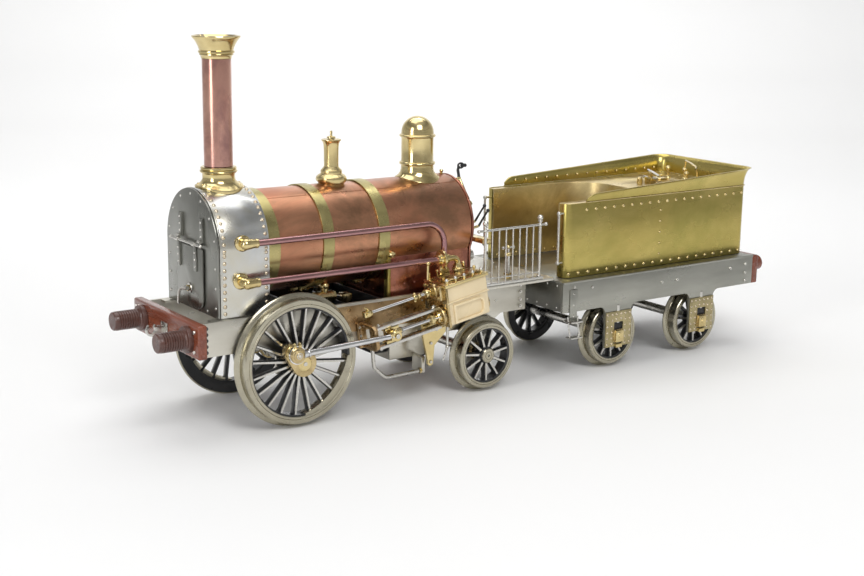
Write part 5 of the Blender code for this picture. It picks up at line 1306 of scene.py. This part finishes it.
def tender_chassis():
    """Outside frames with axlebox guides, steps, floor and drawbar."""
    frame_ = Piece("tender_underframe", "tender", "bright_steel", "tender_chassis")
    low, half = 66.5, 18.5
    for side in SIDES:
        points = [(306, 99.5), (306, low)]
        for x in TENDER_AXLES:
            points += [*arc(x - half - 8, low - 8, 8, 90, 0, 8), (x - half, 21), (x + half, 21),
                       *arc(x + half + 8, low - 8, 8, 180, 90, 8)]
        points += [(590, low), (590, 99.5)]
        frame_.plate([points], 3.0, (0, side * 80.5, 0), 'XZ', TENDER_STEEL, edge=0.3)
        face = side * TENDER_FACE_Y
        frame_.block(306.3, 589.8, side * 79.4, side * 82.9, 97.2, 99.4, TENDER_STEEL, edge=0.4)
        for x, z in ((578, 71), (578, 80), (578, 90), (553.6, 87.7), (321, 93), (345.6, 90.4), (447, 84),
                     (470, 84)):
            frame_.nut((x, face, z), (0, side, 0), 3.0, 1.3, STEEL, stud=0.6)
        for x in TENDER_AXLES:
            axlebox(frame_, x, side)
        step_y = side * 83.6
        frame_.block(315, 325, side * 82, step_y, 57, 91, TENDER_STEEL, edge=0.5)
        frame_.block(312, 328, side * 77, side * 90, 56.2, 58.2, STEEL, edge=0.5)
        frame_.rivets(grid(320, step_y, (62, 74, 86)), (0, side, 0), 1.0, STEEL)
        for x in (313.5, 326.5):
            frame_.pipe([(x, side * 82.6, 62), (x, side * 84, 52), (x, side * 86, 44), (x, side * 86, 41)],
                        0.9, STEEL, 10)
        frame_.block(312, 328, side * 81, side * 90, 39.6, 41.2, STEEL, edge=0.4)
    frame_.block(307, 589.5, -79.5, 79.5, 96.7, 99.2, TENDER_STEEL, edge=0.4)
    frame_.block(306.4, 309.2, -80, 80, 67, 98, DARK_STEEL, edge=0.4)
    for y in steps_between(-72, 72, 16):
        frame_.rivet((306.4, y, 94), (-1, 0, 0), 1.1, STEEL)
        frame_.rivet((306.4, y, 71), (-1, 0, 0), 1.1, STEEL)
    bar = [(308, -5), (308, 5), *arc(285, 0, 7, 60, 300, 30)]
    frame_.plate([bar, arc(285, 0, 3.2, 0, 345, 23)], 4, (0, 0, 86), 'XY', FRAME_STEEL, edge=0.5)
    for x in (350, 447, 545):
        frame_.block(x - 2, x + 2, -79, 79, 86, 96.8, TENDER_STEEL, edge=0.5)
    frame_.done()


def axlebox(piece, x, side):
    """Riveted guard plates either side of a slot, with the axlebox and its round boss."""
    face = side * TENDER_FACE_Y
    outline = [(x - 18.2, 21.4), (x + 18.2, 21.4), (x + 18.2, 60), (x - 18.2, 60)]
    slot = [(x - 6.2, 24.5), (x + 6.2, 24.5), (x + 6.2, 48), (x - 6.2, 48)]
    piece.plate([outline, slot], 1.2, (0, face + side * 0.7, 0), 'XZ', GUARD_BRASS, edge=0.3)
    for dx in (-15.8, -9.2, 9.2, 15.8):
        piece.rivets(grid(x + dx, face + side * 1.3, steps_between(24.6, 56.8, 6.5)), (0, side, 0), 1.35,
                     RIVET_STEEL)
    for dx in (-3.4, 3.4):
        piece.rivets(grid(x + dx, face + side * 1.3, (51.6, 56.8)), (0, side, 0), 1.35, RIVET_STEEL)
    piece.block(x - 6.0, x + 6.0, side * 79.2, side * 82.3, 40, 47.6, IRON, edge=0.2)
    piece.block(x - 5.5, x + 5.5, side * 78.2, side * 86.4, 26.3, 39.4, BRASS, edge=0.7)
    piece.block(x - 6.6, x + 6.6, side * 82.6, side * 84.0, 25.9, 39.9, GUNMETAL, edge=0.4)
    outward = side_turn(side)
    piece.lathe([(0, 1.2), (2.2, 1.1), (2.5, 0.4), (3.7, 0.3), (4.1, 0), (4.1, -0.6), (0, -0.6)],
                (x, side * 86.4, 33.1), BRASS, outward, 28)
    piece.block(x - 4.4, x + 4.4, side * 83, side * 85.6, 20.2, 24.4, BRASS, edge=0.6)
    piece.rod((x, side * 81, 47), (x, side * 81, 66), 2.2, STEEL, sides=16)


def tender_rear_beam():
    """Rear beam with turned buffers and a hook."""
    beam = Piece("tender_buffer_beam", "tender", "mahogany", "tender_rear_beam")
    beam.block(590.3, 599.5, -82, 82, 66, 98.5, MAHOGANY, edge=1.6, segments=3)
    for y in (-56, 56):
        beam.lathe([(0, 27.5), (8.0, 27.5), (8.6, 26.9), (9.2, 14), (9.4, 9.5), (8.6, 9.0), (8.6, 7.4),
                    (9.6, 6.8), (9.6, 5.4),
                    (8.8, 5.0), (8.8, 3.6), (10.8, 2.6), (11.2, 1.6), (11.2, -0.6), (0, -0.6)],
                    (599.5, y, 82.5), MAHOGANY,
                   '+X', 44)
    beam.nuts(grid(599.4, (-74, 74), (72.5, 92)), (1, 0, 0), 3.2, 1.4, STEEL)
    hook = [(599, 86), (603, 86), *arc(611, 82, 5.6, 40, 66, 3), *arc(611, 82, 2.8, 60, -240, 22),
            *arc(611, 82, 5.6, 118, 322, 18), (603, 78.6), (599, 78.6)]
    beam.plate([hook], 3.0, (0, 0, 0), 'XZ', STEEL, edge=0.5)
    beam.block(599.3, 600.6, -8, 8, 75, 90, STEEL, edge=0.3)
    beam.done()


# ---------------------------------------------------------------- stage, camera and light
def studio():
    """Pale rounded bowl, sky and four softboxes."""
    floor_mat = bpy.data.materials.new("floor_paper")
    floor_mat.use_nodes = True
    shader = floor_mat.node_tree.nodes["Principled BSDF"]
    shader.inputs["Base Color"].default_value = (0.86, 0.86, 0.86, 1)
    shader.inputs["Roughness"].default_value = 0.65
    bm = bmesh.new()
    turn = Matrix.Rotation(radians(-35.5), 4, 'Z')
    profile = ((-0.6, 0.0), (-0.3, 0.04), (-0.1, 0.16), (0.0, 0.36), (0.0, 1.0))
    rows = []
    for out, rise in profile:
        row = []
        for i in range(96):
            across, deep = cos(2 * pi * i / 96), sin(2 * pi * i / 96)
            reach = (2.2 if deep > 0 else 4.3) + out
            height = rise if rise < 1 else 1.4 + 1.2 * max(0.0, deep)
            across = copysign(abs(across) ** 0.5, across) * (4.3 + out)
            deep = copysign(abs(deep) ** 0.5, deep) * reach
            row.append(bm.verts.new(turn @ Vector((across, deep, height))))
        rows.append(row)
    for a, b in zip(rows, rows[1:]):
        for i in range(96):
            bm.faces.new((a[i], a[i - 1], b[i - 1], b[i]))
    bm.faces.new(rows[0])
    mesh = bpy.data.meshes.new("studio_floor")
    bm.to_mesh(mesh)
    bm.free()
    mesh.materials.append(floor_mat)
    mesh.shade_smooth()
    floor = bpy.data.objects.new("studio_floor", mesh)
    bpy.context.scene.collection.objects.link(floor)

    world = bpy.data.worlds.new("studio_air")
    bpy.context.scene.world = world
    world.use_nodes = True
    nodes, links = world.node_tree.nodes, world.node_tree.links
    direction = nodes.new("ShaderNodeTexCoord")
    parts = nodes.new("ShaderNodeSeparateXYZ")
    links.new(direction.outputs["Generated"], parts.inputs["Vector"])
    ramp = nodes.new("ShaderNodeValToRGB")
    ramp.color_ramp.interpolation = 'EASE'
    ramp.color_ramp.elements[0].position = 0.0
    ramp.color_ramp.elements[0].color = (0.20, 0.20, 0.20, 1)
    ramp.color_ramp.elements[1].position = 1.0
    ramp.color_ramp.elements[1].color = (0.60, 0.60, 0.60, 1)
    for position, level in ((0.18, 0.26), (0.42, 0.55), (0.62, 0.30)):
        stop = ramp.color_ramp.elements.new(position)
        stop.color = (level, level, level * 0.98, 1)
    links.new(parts.outputs["Z"], ramp.inputs["Fac"])
    links.new(ramp.outputs["Color"], nodes["Background"].inputs["Color"])
    nodes["Background"].inputs["Strength"].default_value = 0.8

    def softbox(name, at, target, width, height, power, colour=(1, 1, 1)):
        light = bpy.data.lights.new(name, 'AREA')
        light.shape, light.size, light.size_y = 'RECTANGLE', width, height
        light.energy, light.color = power, colour
        lamp = bpy.data.objects.new(name, light)
        bpy.context.scene.collection.objects.link(lamp)
        lamp.location = at
        lamp.rotation_mode = 'QUATERNION'
        lamp.rotation_quaternion = (Vector(target) - Vector(at)).to_track_quat('-Z', 'Y')

    softbox("key_light", (-0.5, -1.6, 1.6), (0.0, -0.1, 0.1), 1.0, 1.0, 22)
    softbox("left_strip", (-2.0, -0.5, 0.75), (0.0, 0.0, 0.2), 0.5, 1.4, 12)
    softbox("top_light", (0.0, 0.3, 2.2), (0.0, 0.0, 0.0), 2.0, 1.4, 15)
    softbox("backdrop_light", (0.4, 0.9, 1.9), (1.1, 2.0, 0.6), 2.2, 0.8, 22)


CAMERA_AT = (-632.5, -1163.8, 410.6)
CAMERA_FORWARD = (0.5671, 0.7943, -0.218)
CAMERA_ROLL = 0.776          # degrees
FOCAL_LENGTH = 59.05


def camera():
    """The view in which the engine is shown."""
    data = bpy.data.cameras.new("photo_camera")
    data.lens, data.sensor_width = FOCAL_LENGTH, 36.0
    data.clip_start, data.clip_end = 0.05, 50
    cam = bpy.data.objects.new("photo_camera", data)
    bpy.context.scene.collection.objects.link(cam)
    forward = Vector(CAMERA_FORWARD).normalized()
    right = forward.cross(Vector((0, 0, 1))).normalized()
    up = right.cross(forward)
    roll = radians(CAMERA_ROLL)
    across, upright = right * cos(roll) + up * sin(roll), up * cos(roll) - right * sin(roll)
    turn = Matrix((across, upright, -forward)).transposed().to_4x4()
    cam.matrix_world = Matrix.Translation(place(CAMERA_AT)) @ turn
    bpy.context.scene.camera = cam
    bpy.context.scene.view_settings.view_transform = 'Standard'


front_beam()
frame_plates()
between_frames()
smokebox()
boiler()
chimney()
mountings()
pipes()
footplate()
backhead()
driving_wheels()
carrying_wheels("trailing_wheels", "trailing_wheelset", TRAILING_R, TRAILING_X, 74.0)
for where, axle_x in zip(("front", "rear"), TENDER_AXLES):
    carrying_wheels("tender_wheels_" + where, "tender_wheelset_" + where, TENDER_R, axle_x, 85.2)
for which in SIDES:
    cylinder_block(which)
    guide_bars(which)
    crosshead(which)
    connecting_rod(which)
    valve_rod(which)
    railing(which)
tender_chassis()
tender_tank()
coping()
tender_rear_beam()
studio()
camera()
